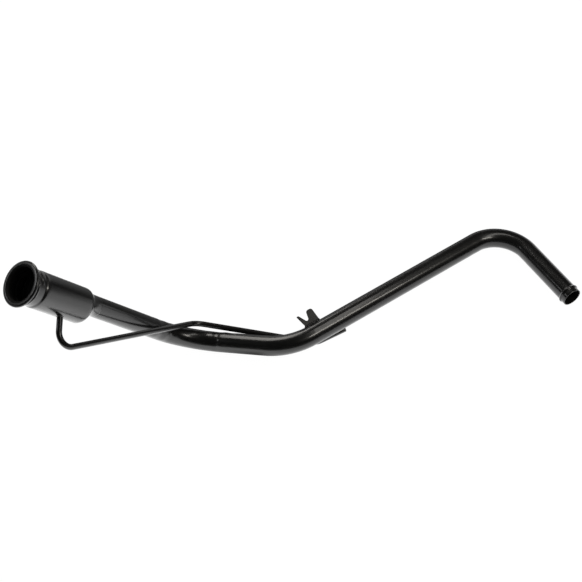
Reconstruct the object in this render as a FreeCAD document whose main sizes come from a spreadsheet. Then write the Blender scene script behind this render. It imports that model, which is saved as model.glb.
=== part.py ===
"""Fuel filler neck: a bent steel filler pipe with its drawn cup, threaded mouth, vent tube and bracket.

The neck lies as it rests on a table: the first bend, the top bend and the tank end carry it, and the
cup points up.  +Z is up, the origin is under the middle of its box, and all sizes are in millimetres.
"""
import FreeCAD, Part
import math
import os
import Sketcher

from FreeCAD import Placement, Rotation, Vector

# Driving dimensions: name, value, meaning
SIZES = [
    ("pipe_od", 28.6, "outer diameter of the filler pipe"),
    ("pipe_wall", 1.2, "wall of the filler pipe"),
    ("vent_od", 8.0, "outer diameter of the vent tube"),
    ("vent_wall", 1.0, "wall of the vent tube"),
    ("corner_x", -39.96, "bottom bend from the middle of the part, across"),
    ("corner_y", -62.98, "bottom bend from the middle of the part, along"),
    ("leg_x", -318.7, "top of the cup leg from the bottom bend, across"),
    ("leg_y", -35.0, "top of the cup leg from the bottom bend, along"),
    ("leg_z", 268.5, "height of the top of the cup leg"),
    ("first_x", -152.3, "first bend from the bottom bend, across"),
    ("first_y", 49.0, "first bend from the bottom bend, along"),
    ("first_z", 4.8, "height of the corner of the first bend"),
    ("corner_z", 35.2, "height of the corner of the bottom bend"),
    ("upper_x", 337.9, "top bend from the bottom bend, across"),
    ("upper_y", 212.6, "top bend from the bottom bend, along"),
    ("upper_sink", 0.74, "corner of the top bend below the middle of the resting pipe"),
    ("tank_x", 411.0, "tank end from the bottom bend, across"),
    ("tank_y", 65.7, "tank end from the bottom bend, along"),
    ("wide_bend", 76.3, "radius of the first and the bottom bend"),
    ("upper_bend", 54.0, "radius of the top bend"),
    ("bead_rise", 1.6, "height of the hose bead above the pipe"),
    ("bead_half", 2.6, "half the width of the hose bead"),
    ("bead_back", 9.0, "middle of the hose bead from the tank end"),
    ("curl_r", 2.3, "outer radius of the curl of the lip"),
    ("flare_r", 3.8, "outer radius of the flare inside the lip"),
    ("lip_flat", 1.9, "flat of the lip between flare and curl"),
    ("mouth_d", 43.0, "bore of the mouth"),
    ("cup_wall", 1.2, "wall of the drawn cup"),
    ("cup_step", 1.4, "cup beyond the threaded neck, all round"),
    ("cup_length", 105.2, "mouth to the start of the shoulder"),
    ("neck_length", 21.7, "mouth to the foot of the threaded neck"),
    ("thread_start", 8.0, "mouth to the middle of the first thread turn"),
    ("thread_pitch", 7.1, "pitch of the rolled cap thread"),
    ("thread_turns", 1.35, "turns of the rolled cap thread"),
    ("shoulder_length", 21.0, "length of the shoulder between cup and collar"),
    ("collar_length", 14.0, "length of the collar inside the pipe"),
    ("collar_offset", 5.3, "pipe beside the middle of the cup"),
    ("cup_clock", 48.0, "turn of the cup round its leg"),
    ("braze_gap", 0.05, "radial clearance of a brazed seat"),
    ("weld_leg", 1.6, "leg of the weld fillets"),
    ("guide_depth", 27.0, "mouth to the rim of the nozzle guide"),
    ("guide_rim", 6.0, "height of the rim of the nozzle guide"),
    ("guide_step", 10.2, "bore of the mouth beyond the bore of the guide"),
    ("guide_cone", 8.0, "height of the cone of the nozzle guide"),
    ("guide_tube", 12.0, "length of the tube of the nozzle guide"),
    ("guide_wall", 1.0, "sheet of the nozzle guide"),
    ("flap_sheet", 1.0, "sheet of the flap"),
    ("flap_margin", 1.2, "flap beyond the tube of the guide, all round"),
    ("flap_gap", 0.3, "gap between the flap and its seat"),
    ("hinge_reach", 2.9, "edge of the flap to the middle of its pin"),
    ("pin_d", 2.0, "diameter of the flap pin"),
    ("pin_play", 0.08, "radial running clearance of the flap pin"),
    ("knuckle_wall", 0.8, "sheet rolled round the flap pin"),
    ("knuckle_share", 0.4, "width of each knuckle over half the width between the ears"),
    ("ear_share", 0.61, "half the width between the ears over the radius of the guide"),
    ("ear_sheet", 1.2, "sheet of each ear"),
    ("ear_play", 0.5, "gap between a knuckle and its ear"),
    ("spring_wire", 0.7, "wire of the flap spring"),
    ("spring_turns", 4.0, "turns of the flap spring"),
    ("spring_pitch", 0.9, "pitch of the flap spring"),
    ("spring_play", 0.4, "gap between the flap spring and the pin"),
    ("spring_leg", 8.0, "length of the fixed leg of the flap spring"),
    ("spring_stub", 1.4, "length of the short leg of the flap spring"),
    ("vent_depth", 71.0, "mouth to the vent tube on the cup"),
    ("vent_clock", 6.0, "turn of the vent tube round the cup"),
    ("vent_drop", 66.7, "middle of the cup to the first vent corner"),
    ("vent_far_x", -132.6, "second vent corner from the bottom bend, across"),
    ("vent_far_y", 54.5, "second vent corner from the bottom bend, along"),
    ("vent_far_z", 35.4, "height of the second vent corner"),
    ("vent_low_x", 36.9, "third vent corner from the bottom bend, across"),
    ("vent_low_y", 24.8, "third vent corner from the bottom bend, along"),
    ("vent_low_z", 7.2, "height of the third vent corner"),
    ("vent_end_x", 80.1, "vent hose end from the bottom bend, across"),
    ("vent_end_y", 45.5, "vent hose end from the bottom bend, along"),
    ("vent_end_z", 7.2, "height of the vent hose end"),
    ("vent_tight", 17.0, "radius of the vent bend under the cup"),
    ("vent_bend", 25.4, "radius of the other vent bends"),
    ("bracket_along", 47.4, "middle of the bracket past the bottom bend"),
    ("bracket_clock", 56.0, "turn of the bracket from the top of the pipe"),
    ("bracket_width", 23.4, "width of the bracket along the pipe"),
    ("bracket_sheet", 2.0, "sheet of the bracket"),
    ("bracket_foot", 70.0, "degrees of the pipe that the foot covers"),
    ("fork_height", 20.1, "height of the fork above the pipe"),
    ("fork_lean", 5.8, "lean of the narrow prong along the pipe"),
    ("narrow_prong", 3.2, "width of the narrow prong at its tip"),
    ("wide_prong", 9.1, "width of the wide prong at its tip"),
    ("slot_floor", 6.9, "pipe to the round bottom of the slot"),
    ("slot_r", 3.2, "radius of the round bottom of the slot"),
    ("slot_step", 0.2, "round bottom of the slot beyond half its width"),
    ("slot_side", 5.3, "middle of the bracket to the bottom of the slot"),
    ("wide_taper", 3.0, "taper of the wide prong on its outer side"),
    ("tip_round", 1.4, "radius of the tip of the narrow prong"),
    ("wide_round", 3.2, "radius of the tip of the wide prong"),
]

# Formulas that more than one sketch uses: name, formula over the driving dimensions
FORMULAS = [
    ("pipe_r", "Sizes.pipe_od / 2"),
    ("vent_r", "Sizes.vent_od / 2"),
    ("mouth_r", "Sizes.mouth_d / 2"),
    ("neck_r", "mouth_r + Sizes.cup_wall"),
    ("cup_r", "neck_r + Sizes.cup_step"),
    ("cup_in", "cup_r - Sizes.cup_wall"),
    ("flare_at", "mouth_r + Sizes.flare_r"),
    ("flare_in", "Sizes.flare_r - Sizes.cup_wall"),
    ("flare_z", "-Sizes.flare_r"),
    ("curl_at", "flare_at + Sizes.lip_flat"),
    ("lip_r", "curl_at + Sizes.curl_r"),
    ("curl_in", "Sizes.curl_r - Sizes.cup_wall"),
    ("curl_in_r", "lip_r - Sizes.cup_wall"),
    ("sheet_z", "-Sizes.cup_wall"),
    ("curl_z", "-Sizes.curl_r"),
    ("curl_low", "Sizes.cup_wall - 2 * Sizes.curl_r"),
    ("curl_end", "-2 * Sizes.curl_r"),
    ("neck_z", "-Sizes.neck_length"),
    ("step_z", "-Sizes.neck_length - Sizes.cup_wall"),
    ("cup_z", "-Sizes.cup_length"),
    ("thread_z", "-Sizes.thread_start - Sizes.thread_pitch * Sizes.thread_turns"),
    ("thread_out", "Sizes.cup_wall + Sizes.cup_step"),
    ("thread_in", "Sizes.cup_step"),
    ("collar_r", "pipe_r - Sizes.pipe_wall - Sizes.braze_gap"),
    ("collar_in", "collar_r - Sizes.cup_wall"),
    ("collar_z", "-Sizes.cup_length - Sizes.shoulder_length"),
    ("collar_end", "collar_z - Sizes.collar_length"),
    ("pipe_start", "collar_z - Sizes.weld_leg"),
    ("rim_r", "cup_in - Sizes.braze_gap"),
    ("rim_in", "rim_r - Sizes.guide_wall"),
    ("rim_z", "-Sizes.guide_depth"),
    ("cone_z", "-Sizes.guide_depth - Sizes.guide_rim"),
    ("tube_z", "-Sizes.guide_depth - Sizes.guide_rim - Sizes.guide_cone"),
    ("seat_z", "-Sizes.guide_depth - Sizes.guide_rim - Sizes.guide_cone - Sizes.guide_tube"),
    ("guide_in", "mouth_r - Sizes.guide_step"),
    ("guide_r", "guide_in + Sizes.guide_wall"),
    ("flap_r", "guide_r + Sizes.flap_margin"),
    ("flap_z", "seat_z - Sizes.flap_gap"),
    ("flap_low", "seat_z - Sizes.flap_gap - Sizes.flap_sheet"),
    ("pin_y", "flap_r + Sizes.hinge_reach"),
    ("pin_z", "flap_z - Sizes.flap_sheet / 2"),
    ("knuckle_in", "Sizes.pin_d / 2 + Sizes.pin_play"),
    ("knuckle_r", "Sizes.pin_d / 2 + Sizes.pin_play + Sizes.knuckle_wall"),
    ("ear_in", "guide_r * Sizes.ear_share"),
    ("ear_mid", "ear_in + Sizes.ear_sheet / 2"),
    ("knuckle_width", "ear_in * Sizes.knuckle_share"),
    ("ear_root", "sqrt((guide_r - Sizes.guide_wall / 2) ^ 2 - ear_mid ^ 2)"),
    ("ear_tip", "pin_y + knuckle_r"),
    ("ear_top", "seat_z + Sizes.guide_tube / 2"),
    ("ear_low", "pin_z - knuckle_r"),
    ("knuckle_out", "ear_in - Sizes.ear_play"),
    ("fork_z", "pipe_r + Sizes.fork_height"),
    ("slot_half", "Sizes.slot_r - Sizes.slot_step"),
    ("slot_rise", "Sizes.slot_r - sqrt(Sizes.slot_r ^ 2 - slot_half ^ 2)"),
    ("slot_z", "pipe_r + Sizes.slot_floor + slot_rise"),
    ("foot_in", "pipe_r + Sizes.braze_gap"),
    ("foot_r", "pipe_r + Sizes.braze_gap + Sizes.bracket_sheet"),
    ("bracket_start", "-Sizes.bracket_width / 2"),
    ("bracket_end", "Sizes.bracket_width / 2"),
    ("narrow_z", "fork_z - Sizes.tip_round"),
    ("narrow_out", "bracket_start - Sizes.fork_lean"),
    ("narrow_in", "narrow_out + Sizes.narrow_prong"),
    ("slot_near", "-Sizes.slot_side - slot_half"),
    ("slot_far", "-Sizes.slot_side + slot_half"),
    ("wide_out", "bracket_end - Sizes.wide_taper"),
    ("wide_in", "wide_out - Sizes.wide_prong"),
    ("foot_out_x", "foot_r * sin(Sizes.bracket_foot)"),
    ("foot_out_y", "foot_r * cos(Sizes.bracket_foot)"),
    ("foot_in_x", "foot_in * sin(Sizes.bracket_foot)"),
    ("foot_in_y", "foot_in * cos(Sizes.bracket_foot)"),
    ("cone_up", "cone_z + Sizes.guide_wall / 2"),
    ("tube_up", "tube_z + Sizes.guide_wall / 2"),
    ("arm_root", "flap_r - 2 * Sizes.hinge_reach"),
]

# Shoulder of the cup: share of its length, share of the way from cup radius to collar radius,
# and share of the collar offset, for each section of the loft
SHOULDER = [
    (0.0, 0.0, 0.0),
    (0.22, 0.05, 0.04),
    (0.48, 0.34, 0.34),
    (0.74, 0.80, 0.80),
    (1.0, 1.0, 1.0),
]

WORLD_UP = Vector(0, 0, 1)
ALONG_X = Rotation(Vector(0, 1, 0), 90)
SAME_LENGTH = 1e-6


class Worked:
    """Driving dimensions and formulas of the document, read by name."""

    def __init__(self, doc):
        self.sizes = doc.addObject("Spreadsheet::Sheet", "Sizes")
        for row, (alias, value, meaning) in enumerate(SIZES, start=1):
            self.sizes.set(f"A{row}", alias)
            self.sizes.set(f"B{row}", str(value))
            self.sizes.set(f"C{row}", meaning)
            self.sizes.setAlias(f"B{row}", alias)
        doc.recompute()
        self.formulas = doc.addObject("Spreadsheet::Sheet", "Formulas")
        for row, (alias, formula) in enumerate(FORMULAS, start=1):
            self.formulas.set(f"A{row}", alias)
            self.formulas.set(f"B{row}", "=" + formula)
            self.formulas.setAlias(f"B{row}", alias)
        doc.recompute()
        self.driving = {alias for alias, _, _ in SIZES}

    def __call__(self, name):
        """Number held under this name."""
        sheet = self.sizes if name in self.driving else self.formulas
        return float(sheet.get(name))

    def source(self, name):
        """Expression that reads this name."""
        return ("Sizes." if name in self.driving else "Formulas.") + name

    def point(self, name):
        """Place held under three names that end in _x, _y and _z."""
        return Vector(self(name + "_x"), self(name + "_y"), self(name + "_z"))


def bind(item, **rules):
    """Bind properties of an object to expressions; two underscores stand for a dot."""
    for path, rule in rules.items():
        item.setExpression(path.replace("__", "."), rule)


def plane(body, role):
    """Origin plane of a body, such as XY_Plane."""
    return next(item for item in body.Origin.OriginFeatures if item.Role == role)


def new_body(doc, name, placement):
    """Empty body with its name and place."""
    body = doc.addObject("PartDesign::Body", name)
    body.Label = name
    body.Placement = placement
    return body


def new_sketch(body, name, role, height=None):
    """Sketch on an origin plane of its own body, at a height above that plane."""
    sketch = body.newObject("Sketcher::SketchObject", name)
    sketch.AttachmentSupport = [(plane(body, role), "")]
    sketch.MapMode = "FlatFace"
    if height is not None:
        sketch.setExpression(".AttachmentOffset.Base.z", height)
    return sketch


def pin_end(sketch, worked, edge, end, place):
    """Hold one end of a sketch edge at the place given by two names."""
    for kind, name in zip(("DistanceX", "DistanceY"), place):
        if name == "zero":
            sketch.addConstraint(Sketcher.Constraint(kind, -1, 1, edge, end, 0.0))
            continue
        rule = Sketcher.Constraint(kind, -1, 1, edge, end, worked(name))
        index = sketch.addConstraint(rule)
        sketch.setExpression(f"Constraints[{index}]", worked.source(name))


def arc_between(start, end, radius, turn):
    """Arc from start to end, with its middle on the left of the way for a turn of 1."""
    chord = end - start
    side = Vector(-chord.y, chord.x, 0).normalize() * turn
    rise = math.sqrt(max(radius ** 2 - (chord.Length / 2) ** 2, 0))
    middle = start + chord / 2 + side * rise
    first, last = (start, end) if turn > 0 else (end, start)
    angles = [math.atan2(spot.y - middle.y, spot.x - middle.x) for spot in (first, last)]
    circle = Part.Circle(middle, WORLD_UP, radius)
    return Part.ArcOfCircle(circle, *angles)


def draw_outline(sketch, worked, corners):
    """Closed outline through named corners; a corner may name the radius and turn of an arc."""
    spots = [Vector(*(0 if name == "zero" else worked(name) for name in corner[:2]), 0)
             for corner in corners]
    for index, corner in enumerate(corners):
        after = (index + 1) % len(corners)
        if len(corner) == 2:
            edge = sketch.addGeometry(Part.LineSegment(spots[index], spots[after]))
            ends = (1, 2)
        else:
            radius, turn = corner[2:]
            edge = sketch.addGeometry(arc_between(spots[index], spots[after], worked(radius), turn))
            ends = (1, 2) if turn > 0 else (2, 1)
        pin_end(sketch, worked, edge, ends[0], corner[:2])
        pin_end(sketch, worked, edge, ends[1], corners[after][:2])
        if len(corner) > 2:
            rule = sketch.addConstraint(Sketcher.Constraint("Radius", edge, worked(radius)))
            sketch.setExpression(f"Constraints[{rule}]", worked.source(radius))


def draw_circle(sketch, radius, offset="0 mm"):
    """Circle of this radius, moved along the sketch's Y by this offset; both are expressions."""
    edge = sketch.addGeometry(Part.Circle(Vector(0, 0, 0), WORLD_UP, 1.0))
    rules = (
        (Sketcher.Constraint("Radius", edge, 1.0), radius),
        (Sketcher.Constraint("DistanceY", -1, 1, edge, 3, 0.0), offset),
    )
    sketch.addConstraint(Sketcher.Constraint("DistanceX", -1, 1, edge, 3, 0.0))
    for constraint, rule in rules:
        index = sketch.addConstraint(constraint)
        sketch.setExpression(f"Constraints[{index}]", rule)


def revolve(body, worked, kind, name, corners):
    """Revolution or Groove of an outline of the XZ plane round the body's Z axis."""
    sketch = new_sketch(body, name + "_outline", "XZ_Plane")
    draw_outline(sketch, worked, corners)
    feature = body.newObject(f"PartDesign::{kind}", name)
    feature.Profile = sketch
    feature.ReferenceAxis = (sketch, ["V_Axis"])
    feature.Angle = 360
    return feature


def block(body, kind, name, low, high):
    """Box between two corners given as expressions, added to or taken from a body."""
    feature = body.newObject(f"PartDesign::{kind}Box", name)
    for axis, size, start, end in zip("xyz", ("Length", "Width", "Height"), low, high):
        feature.setExpression(".Placement.Base." + axis, start)
        feature.setExpression(size, f"({end}) - ({start})")
    return feature


def rod(body, kind, name, radius, start, length, turn):
    """Cylinder from a start given as expressions, added to or taken from a body."""
    feature = body.newObject(f"PartDesign::{kind}Cylinder", name)
    feature.Placement = Placement(Vector(), turn)
    for axis, rule in zip("xyz", start):
        feature.setExpression(".Placement.Base." + axis, rule)
    feature.setExpression("Radius", radius)
    feature.setExpression("Height", length)
    return feature


def bent_route(points, radii):
    """Wire of straight runs joined by tangent arcs."""
    edges = []
    start = points[0]
    for before, corner, after, radius in zip(points, points[1:], points[2:], radii):
        back = (before - corner).normalize()
        ahead = (after - corner).normalize()
        half = back.getAngle(ahead) / 2
        arc_in = corner + back * (radius / math.tan(half))
        arc_out = corner + ahead * (radius / math.tan(half))
        middle = corner + (back + ahead).normalize() * (radius / math.sin(half) - radius)
        edges.append(Part.LineSegment(start, arc_in).toShape())
        edges.append(Part.Arc(arc_in, middle, arc_out).toShape())
        start = arc_out
    edges.append(Part.LineSegment(start, points[-1]).toShape())
    return Part.Wire(edges)


def swept(route, points, diameter):
    """Round solid along the route through these points."""
    ring = Part.Wire(Part.makeCircle(diameter / 2, points[0], points[1] - points[0]))
    return route.makePipeShell([ring], True, False)


def placed(origin, x_axis, z_axis):
    """Placement whose X and Z axes point along the given directions."""
    return Placement(origin, Rotation(x_axis, z_axis.cross(x_axis), z_axis, "ZXY"))


def add_shape(doc, name, shape):
    """Sub-part made of a finished shape."""
    piece = doc.addObject("Part::Feature", name)
    piece.Label = name
    piece.Shape = shape
    return piece


class Layout:
    """Places in the part that several sub-parts share."""

    def __init__(self, worked):
        corner = worked.point("corner")
        ground = Vector(corner.x, corner.y, 0)
        low = worked("pipe_r")
        self.top = ground + worked.point("leg")
        self.first = ground + worked.point("first")
        self.corner = corner
        self.upper = ground + Vector(worked("upper_x"), worked("upper_y"), low - worked("upper_sink"))
        tank = ground + Vector(worked("tank_x"), worked("tank_y"), low)
        last = (tank - self.upper).Length
        sink = worked("upper_sink")
        lift = (worked("bead_rise") + sink) * last / (last - worked("bead_back")) - sink
        self.tank = tank + WORLD_UP * lift
        self.vent_corners = [ground + worked.point("vent_" + name) for name in ("far", "low", "end")]
        self.leg = (self.first - self.top).normalize()
        self.run = (self.upper - self.corner).normalize()
        self.cup = self._cup_place(worked)
        self.bracket = self._bracket_place(worked)

    def _cup_place(self, worked):
        """Cup frame: Z out of the mouth, Y from the cup's middle towards the pipe's."""
        out = self.leg * -1
        level = (WORLD_UP - out * out.dot(WORLD_UP)).normalize()
        beside = Rotation(out, worked("cup_clock")).multVec(level)
        origin = self.top - beside * worked("collar_offset")
        return placed(origin, beside.cross(out), out)

    def _bracket_place(self, worked):
        """Bracket frame: Z along the pipe, Y out of the pipe towards the fork."""
        level = (WORLD_UP - self.run * self.run.dot(WORLD_UP)).normalize()
        out = Rotation(self.run, -worked("bracket_clock")).multVec(level)
        origin = self.corner + self.run * worked("bracket_along")
        return placed(origin, out.cross(self.run), self.run)


def make_main_pipe(doc, worked, layout):
    """Bent filler pipe from the collar to the tank end, with its hose bead."""
    start = layout.top - layout.leg * worked("pipe_start")
    points = [start, layout.first, layout.corner, layout.upper, layout.tank]
    radii = [worked("wide_bend"), worked("wide_bend"), worked("upper_bend")]
    route = bent_route(points, radii)
    outside = swept(route, points, worked("pipe_od"))
    bore = swept(route, points, worked("pipe_od") - 2 * worked("pipe_wall"))
    last = (layout.tank - layout.upper).normalize()
    middle = layout.tank - last * worked("bead_back")
    rise, half = worked("bead_rise"), worked("bead_half")
    crown = (rise ** 2 + half ** 2) / (2 * rise)
    around = worked("pipe_r") + rise - crown
    bead = Part.makeTorus(around, crown, middle, last)
    slice_start = middle - last * half
    band = Part.makeCylinder(worked("pipe_r") + rise, 2 * half, slice_start, last)
    return add_shape(doc, "main_pipe", outside.fuse(bead.common(band)).cut(bore))


def make_vent_tube(doc, worked, layout):
    """Vent tube from the cup's wall, over and under the pipe, to its hose end."""
    outward = Rotation(WORLD_UP, worked("vent_clock")).multVec(Vector(0, -1, 0))
    depth = WORLD_UP * worked("vent_depth")
    start = layout.cup.multVec(outward * (worked("cup_in") - worked("vent_wall")) - depth)
    first = layout.cup.multVec(outward * worked("vent_drop") - depth)
    points = [start, first] + layout.vent_corners
    radii = [worked("vent_tight"), worked("vent_bend"), worked("vent_bend")]
    route = bent_route(points, radii)
    outside = swept(route, points, worked("vent_od"))
    bore = swept(route, points, worked("vent_od") - 2 * worked("vent_wall"))
    return add_shape(doc, "vent_tube", outside.cut(bore))


def rolled_thread(body, worked, kind, radius):
    """Outside or inside of the rolled thread: a round section wound down the neck."""
    section = new_sketch(body, kind.lower() + "_thread_section", "XZ_Plane")
    middle = Vector(worked("mouth_r"), worked("thread_z"), 0)
    edge = section.addGeometry(Part.Circle(middle, WORLD_UP, worked(radius)))
    pin_end(section, worked, edge, 3, ("mouth_r", "thread_z"))
    rule = section.addConstraint(Sketcher.Constraint("Radius", edge, worked(radius)))
    section.setExpression(f"Constraints[{rule}]", worked.source(radius))
    thread = body.newObject(f"PartDesign::{kind}Helix", kind.lower() + "_thread")
    thread.Profile = section
    thread.ReferenceAxis = (section, ["V_Axis"])
    thread.Mode = "pitch-turns-angle"
    thread.Refine = False
    bind(thread, Pitch="Sizes.thread_pitch", Turns="Sizes.thread_turns")
    return thread


def make_filler_cup(doc, worked, layout):
    """Drawn cup: rolled lip, rolled thread, body, eccentric shoulder and collar."""
    body = new_body(doc, "filler_cup", layout.cup)
    revolve(body, worked, "Revolution", "cup_outside", [
        ("zero", "zero"),
        ("curl_at", "zero", "curl_r", -1),
        ("lip_r", "curl_z", "curl_r", -1),
        ("curl_at", "curl_end"),
        ("curl_at", "curl_low", "curl_in", 1),
        ("curl_in_r", "curl_z", "curl_in", 1),
        ("curl_at", "sheet_z"),
        ("flare_at", "sheet_z", "flare_in", 1),
        ("neck_r", "flare_z"),
        ("neck_r", "neck_z"),
        ("cup_r", "step_z"),
        ("cup_r", "cup_z"),
        ("zero", "cup_z"),
    ])
    rolled_thread(body, worked, "Additive", "thread_out")
    revolve(body, worked, "Groove", "cup_inside", [
        ("zero", "zero"),
        ("flare_at", "zero", "flare_r", 1),
        ("mouth_r", "flare_z"),
        ("mouth_r", "neck_z"),
        ("cup_in", "step_z"),
        ("cup_in", "cup_z"),
        ("zero", "cup_z"),
    ])
    rolled_thread(body, worked, "Subtractive", "thread_in")
    for kind, less in (("Additive", ""), ("Subtractive", " - Sizes.cup_wall")):
        sections = []
        for number, (depth, narrow, aside) in enumerate(SHOULDER):
            height = f"Formulas.cup_z - {depth} * Sizes.shoulder_length"
            radius = f"Formulas.cup_r + {narrow} * (Formulas.collar_r - Formulas.cup_r){less}"
            sketch = new_sketch(body, f"{kind.lower()}_shoulder_{number}", "XY_Plane", height)
            draw_circle(sketch, radius, f"{aside} * Sizes.collar_offset")
            sections.append(sketch)
        loft = body.newObject(f"PartDesign::{kind}Loft", kind.lower() + "_shoulder")
        loft.Profile = sections[0]
        loft.Sections = sections[1:]
    for kind, radius in (("Additive", "Formulas.collar_r"), ("Subtractive", "Formulas.collar_in")):
        rod(body, kind, kind.lower() + "_collar", radius,
            ("0 mm", "Sizes.collar_offset", "Formulas.collar_end"), "Sizes.collar_length", Rotation())
    side = Rotation(WORLD_UP, worked("vent_clock")) * Rotation(Vector(1, 0, 0), 90)
    rod(body, "Subtractive", "vent_hole", "Formulas.vent_r + Sizes.braze_gap",
        ("0 mm", "0 mm", "-Sizes.vent_depth"), "2 * Formulas.cup_r", side)
    return body


def make_nozzle_guide(doc, worked, layout):
    """Nozzle guide pressed into the cup: rim, cone, tube and the ears of the flap."""
    body = new_body(doc, "nozzle_guide", layout.cup)
    revolve(body, worked, "Revolution", "guide_sheet", [
        ("rim_r", "rim_z"), ("rim_in", "rim_z"), ("rim_in", "cone_up"), ("guide_in", "tube_up"),
        ("guide_in", "seat_z"), ("guide_r", "seat_z"), ("guide_r", "tube_z"), ("rim_r", "cone_z"),
    ])
    sides = {"left": "-Formulas.ear_in - Sizes.ear_sheet", "right": "Formulas.ear_in"}
    for side, start in sides.items():
        end = start + " + Sizes.ear_sheet"
        block(body, "Additive", side + "_ear_root", (start, "Formulas.ear_root", "Formulas.seat_z"),
              (end, "Formulas.ear_tip", "Formulas.ear_top"))
        block(body, "Additive", side + "_ear", (start, "Formulas.flap_r", "Formulas.ear_low"),
              (end, "Formulas.ear_tip", "Formulas.seat_z"))
    rod(body, "Subtractive", "pin_hole", "Sizes.pin_d / 2",
        ("-2 * Formulas.ear_in", "Formulas.pin_y", "Formulas.pin_z"), "4 * Formulas.ear_in", ALONG_X)
    return body


def make_flap(doc, worked, layout):
    """Flap that closes the nozzle guide: disc, two arms and the knuckles on its pin."""
    body = new_body(doc, "flap", layout.cup)
    disc = new_sketch(body, "disc_outline", "XY_Plane", "Formulas.flap_low")
    draw_circle(disc, "Formulas.flap_r")
    pad = body.newObject("PartDesign::Pad", "disc")
    pad.Profile = disc
    bind(pad, Length="Sizes.flap_sheet")
    sides = {"left": "-Formulas.knuckle_out", "right": "Formulas.knuckle_out - Formulas.knuckle_width"}
    for side, start in sides.items():
        block(body, "Additive", side + "_arm", (start, "Formulas.arm_root", "Formulas.flap_low"),
              (start + " + Formulas.knuckle_width", "Formulas.pin_y", "Formulas.flap_z"))
        rod(body, "Additive", side + "_knuckle", "Formulas.knuckle_r",
            (start, "Formulas.pin_y", "Formulas.pin_z"), "Formulas.knuckle_width", ALONG_X)
    rod(body, "Subtractive", "knuckle_bore", "Formulas.knuckle_in",
        ("-2 * Formulas.ear_in", "Formulas.pin_y", "Formulas.pin_z"), "4 * Formulas.ear_in", ALONG_X)
    return body


def make_flap_pin(doc, worked, layout):
    """Plain pin pressed into both ears."""
    pin = doc.addObject("Part::Cylinder", "flap_pin")
    pin.Label = "flap_pin"
    bind(pin, Radius="Sizes.pin_d / 2", Height="2 * Formulas.ear_in + 4 * Sizes.ear_sheet")
    start = Vector(-worked("ear_in") - 2 * worked("ear_sheet"), worked("pin_y"), worked("pin_z"))
    pin.Placement = layout.cup * Placement(start, ALONG_X)
    return pin


def make_flap_spring(doc, worked, layout):
    """Coiled closing spring round the pin, with its fixed leg up beside the guide's tube."""
    wire = worked("spring_wire")
    radius = (worked("pin_d") + wire) / 2 + worked("spring_play")
    height = worked("spring_turns") * worked("spring_pitch")
    line = Part.makeHelix(worked("spring_pitch"), height, radius)
    start = Vector(radius, 0, 0)
    section = Part.Wire(Part.makeCircle(wire / 2, start, Vector(0, 1, 0)))
    coil = Part.Wire(line.Edges).makePipeShell([section], True, True)
    legs = [
        Part.makeCylinder(wire / 2, worked("spring_leg"), start, Vector(0, -1, 0)),
        Part.makeCylinder(wire / 2, worked("spring_stub"), start + WORLD_UP * height, Vector(0, 1, 0)),
    ]
    spring = add_shape(doc, "flap_spring", coil.multiFuse(legs))
    middle = Vector(-height / 2, worked("pin_y"), worked("pin_z"))
    spring.Placement = layout.cup * placed(middle, Vector(0, -1, 0), Vector(1, 0, 0))
    return spring


def make_support_bracket(doc, worked, layout):
    """Folded bracket: a foot bent round the pipe and a forked plate that stands out from it."""
    body = new_body(doc, "support_bracket", layout.bracket)
    fork = new_sketch(body, "fork_outline", "YZ_Plane")
    draw_outline(fork, worked, [
        ("foot_in", "bracket_start"), ("narrow_z", "narrow_out"), ("narrow_z", "narrow_in"),
        ("slot_z", "slot_near", "slot_r", -1), ("slot_z", "slot_far"),
        ("fork_z", "wide_in"), ("fork_z", "wide_out"), ("foot_in", "bracket_end"),
    ])
    plate = body.newObject("PartDesign::Pad", "fork_plate")
    plate.Profile = fork
    bind(plate, Length="Sizes.bracket_sheet")
    foot = new_sketch(body, "foot_outline", "XY_Plane", "Formulas.bracket_start")
    draw_outline(foot, worked, [
        ("zero", "foot_r", "foot_r", -1), ("foot_out_x", "foot_out_y"),
        ("foot_in_x", "foot_in_y", "foot_in", 1), ("zero", "foot_in"),
    ])
    pad = body.newObject("PartDesign::Pad", "foot")
    pad.Profile = foot
    bind(pad, Length="Sizes.bracket_width")
    doc.recompute()
    for name, height, radius in (("narrow_tip", "narrow_z", "tip_round"), ("wide_tip", "fork_z", "wide_round")):
        edges = [f"Edge{number}" for number, edge in enumerate(body.Tip.Shape.Edges, start=1)
                 if abs(edge.Length - worked("bracket_sheet")) < SAME_LENGTH
                 and abs(edge.CenterOfMass.y - worked(height)) < SAME_LENGTH]
        rounding = body.newObject("PartDesign::Fillet", name)
        rounding.Base = (rounding.BaseFeature, edges)
        bind(rounding, Radius="Sizes." + radius)
        doc.recompute()
    return body


def make_weld(doc, name, place, parts):
    """Weld bead: a primitive less the pieces that it joins, all set in one frame."""
    bead, tools = parts
    for item, spot in [bead] + tools:
        item.Placement = place * spot
    weld = bead[0]
    for tool, _ in tools:
        cut = doc.addObject("Part::Cut", name + "_trimmed")
        cut.Base = weld
        cut.Tool = tool
        weld = cut
    weld.Label = name
    return weld


def cylinder(doc, name, radius, height):
    """Cylinder whose radius and height are expressions."""
    item = doc.addObject("Part::Cylinder", name)
    bind(item, Radius=radius, Height=height)
    return item


def cone(doc, name, wide, narrow, height):
    """Cone frustum whose sizes are expressions, with its wide end first."""
    item = doc.addObject("Part::Cone", name)
    bind(item, Radius1=wide, Radius2=narrow, Height=height)
    return item


def make_cup_weld(doc, worked, layout):
    """Ring of braze that fills the corner between the collar of the cup and the end of the pipe."""
    ring = cone(doc, "cup_weld_ring", "Formulas.pipe_r", "Formulas.collar_r", "Sizes.weld_leg")
    collar = cylinder(doc, "cup_weld_collar", "Formulas.collar_r", "2 * Sizes.weld_leg")
    foot = Placement(Vector(0, worked("collar_offset"), worked("pipe_start")), Rotation())
    return make_weld(doc, "cup_weld", layout.cup, ((ring, foot), [(collar, foot)]))


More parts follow.
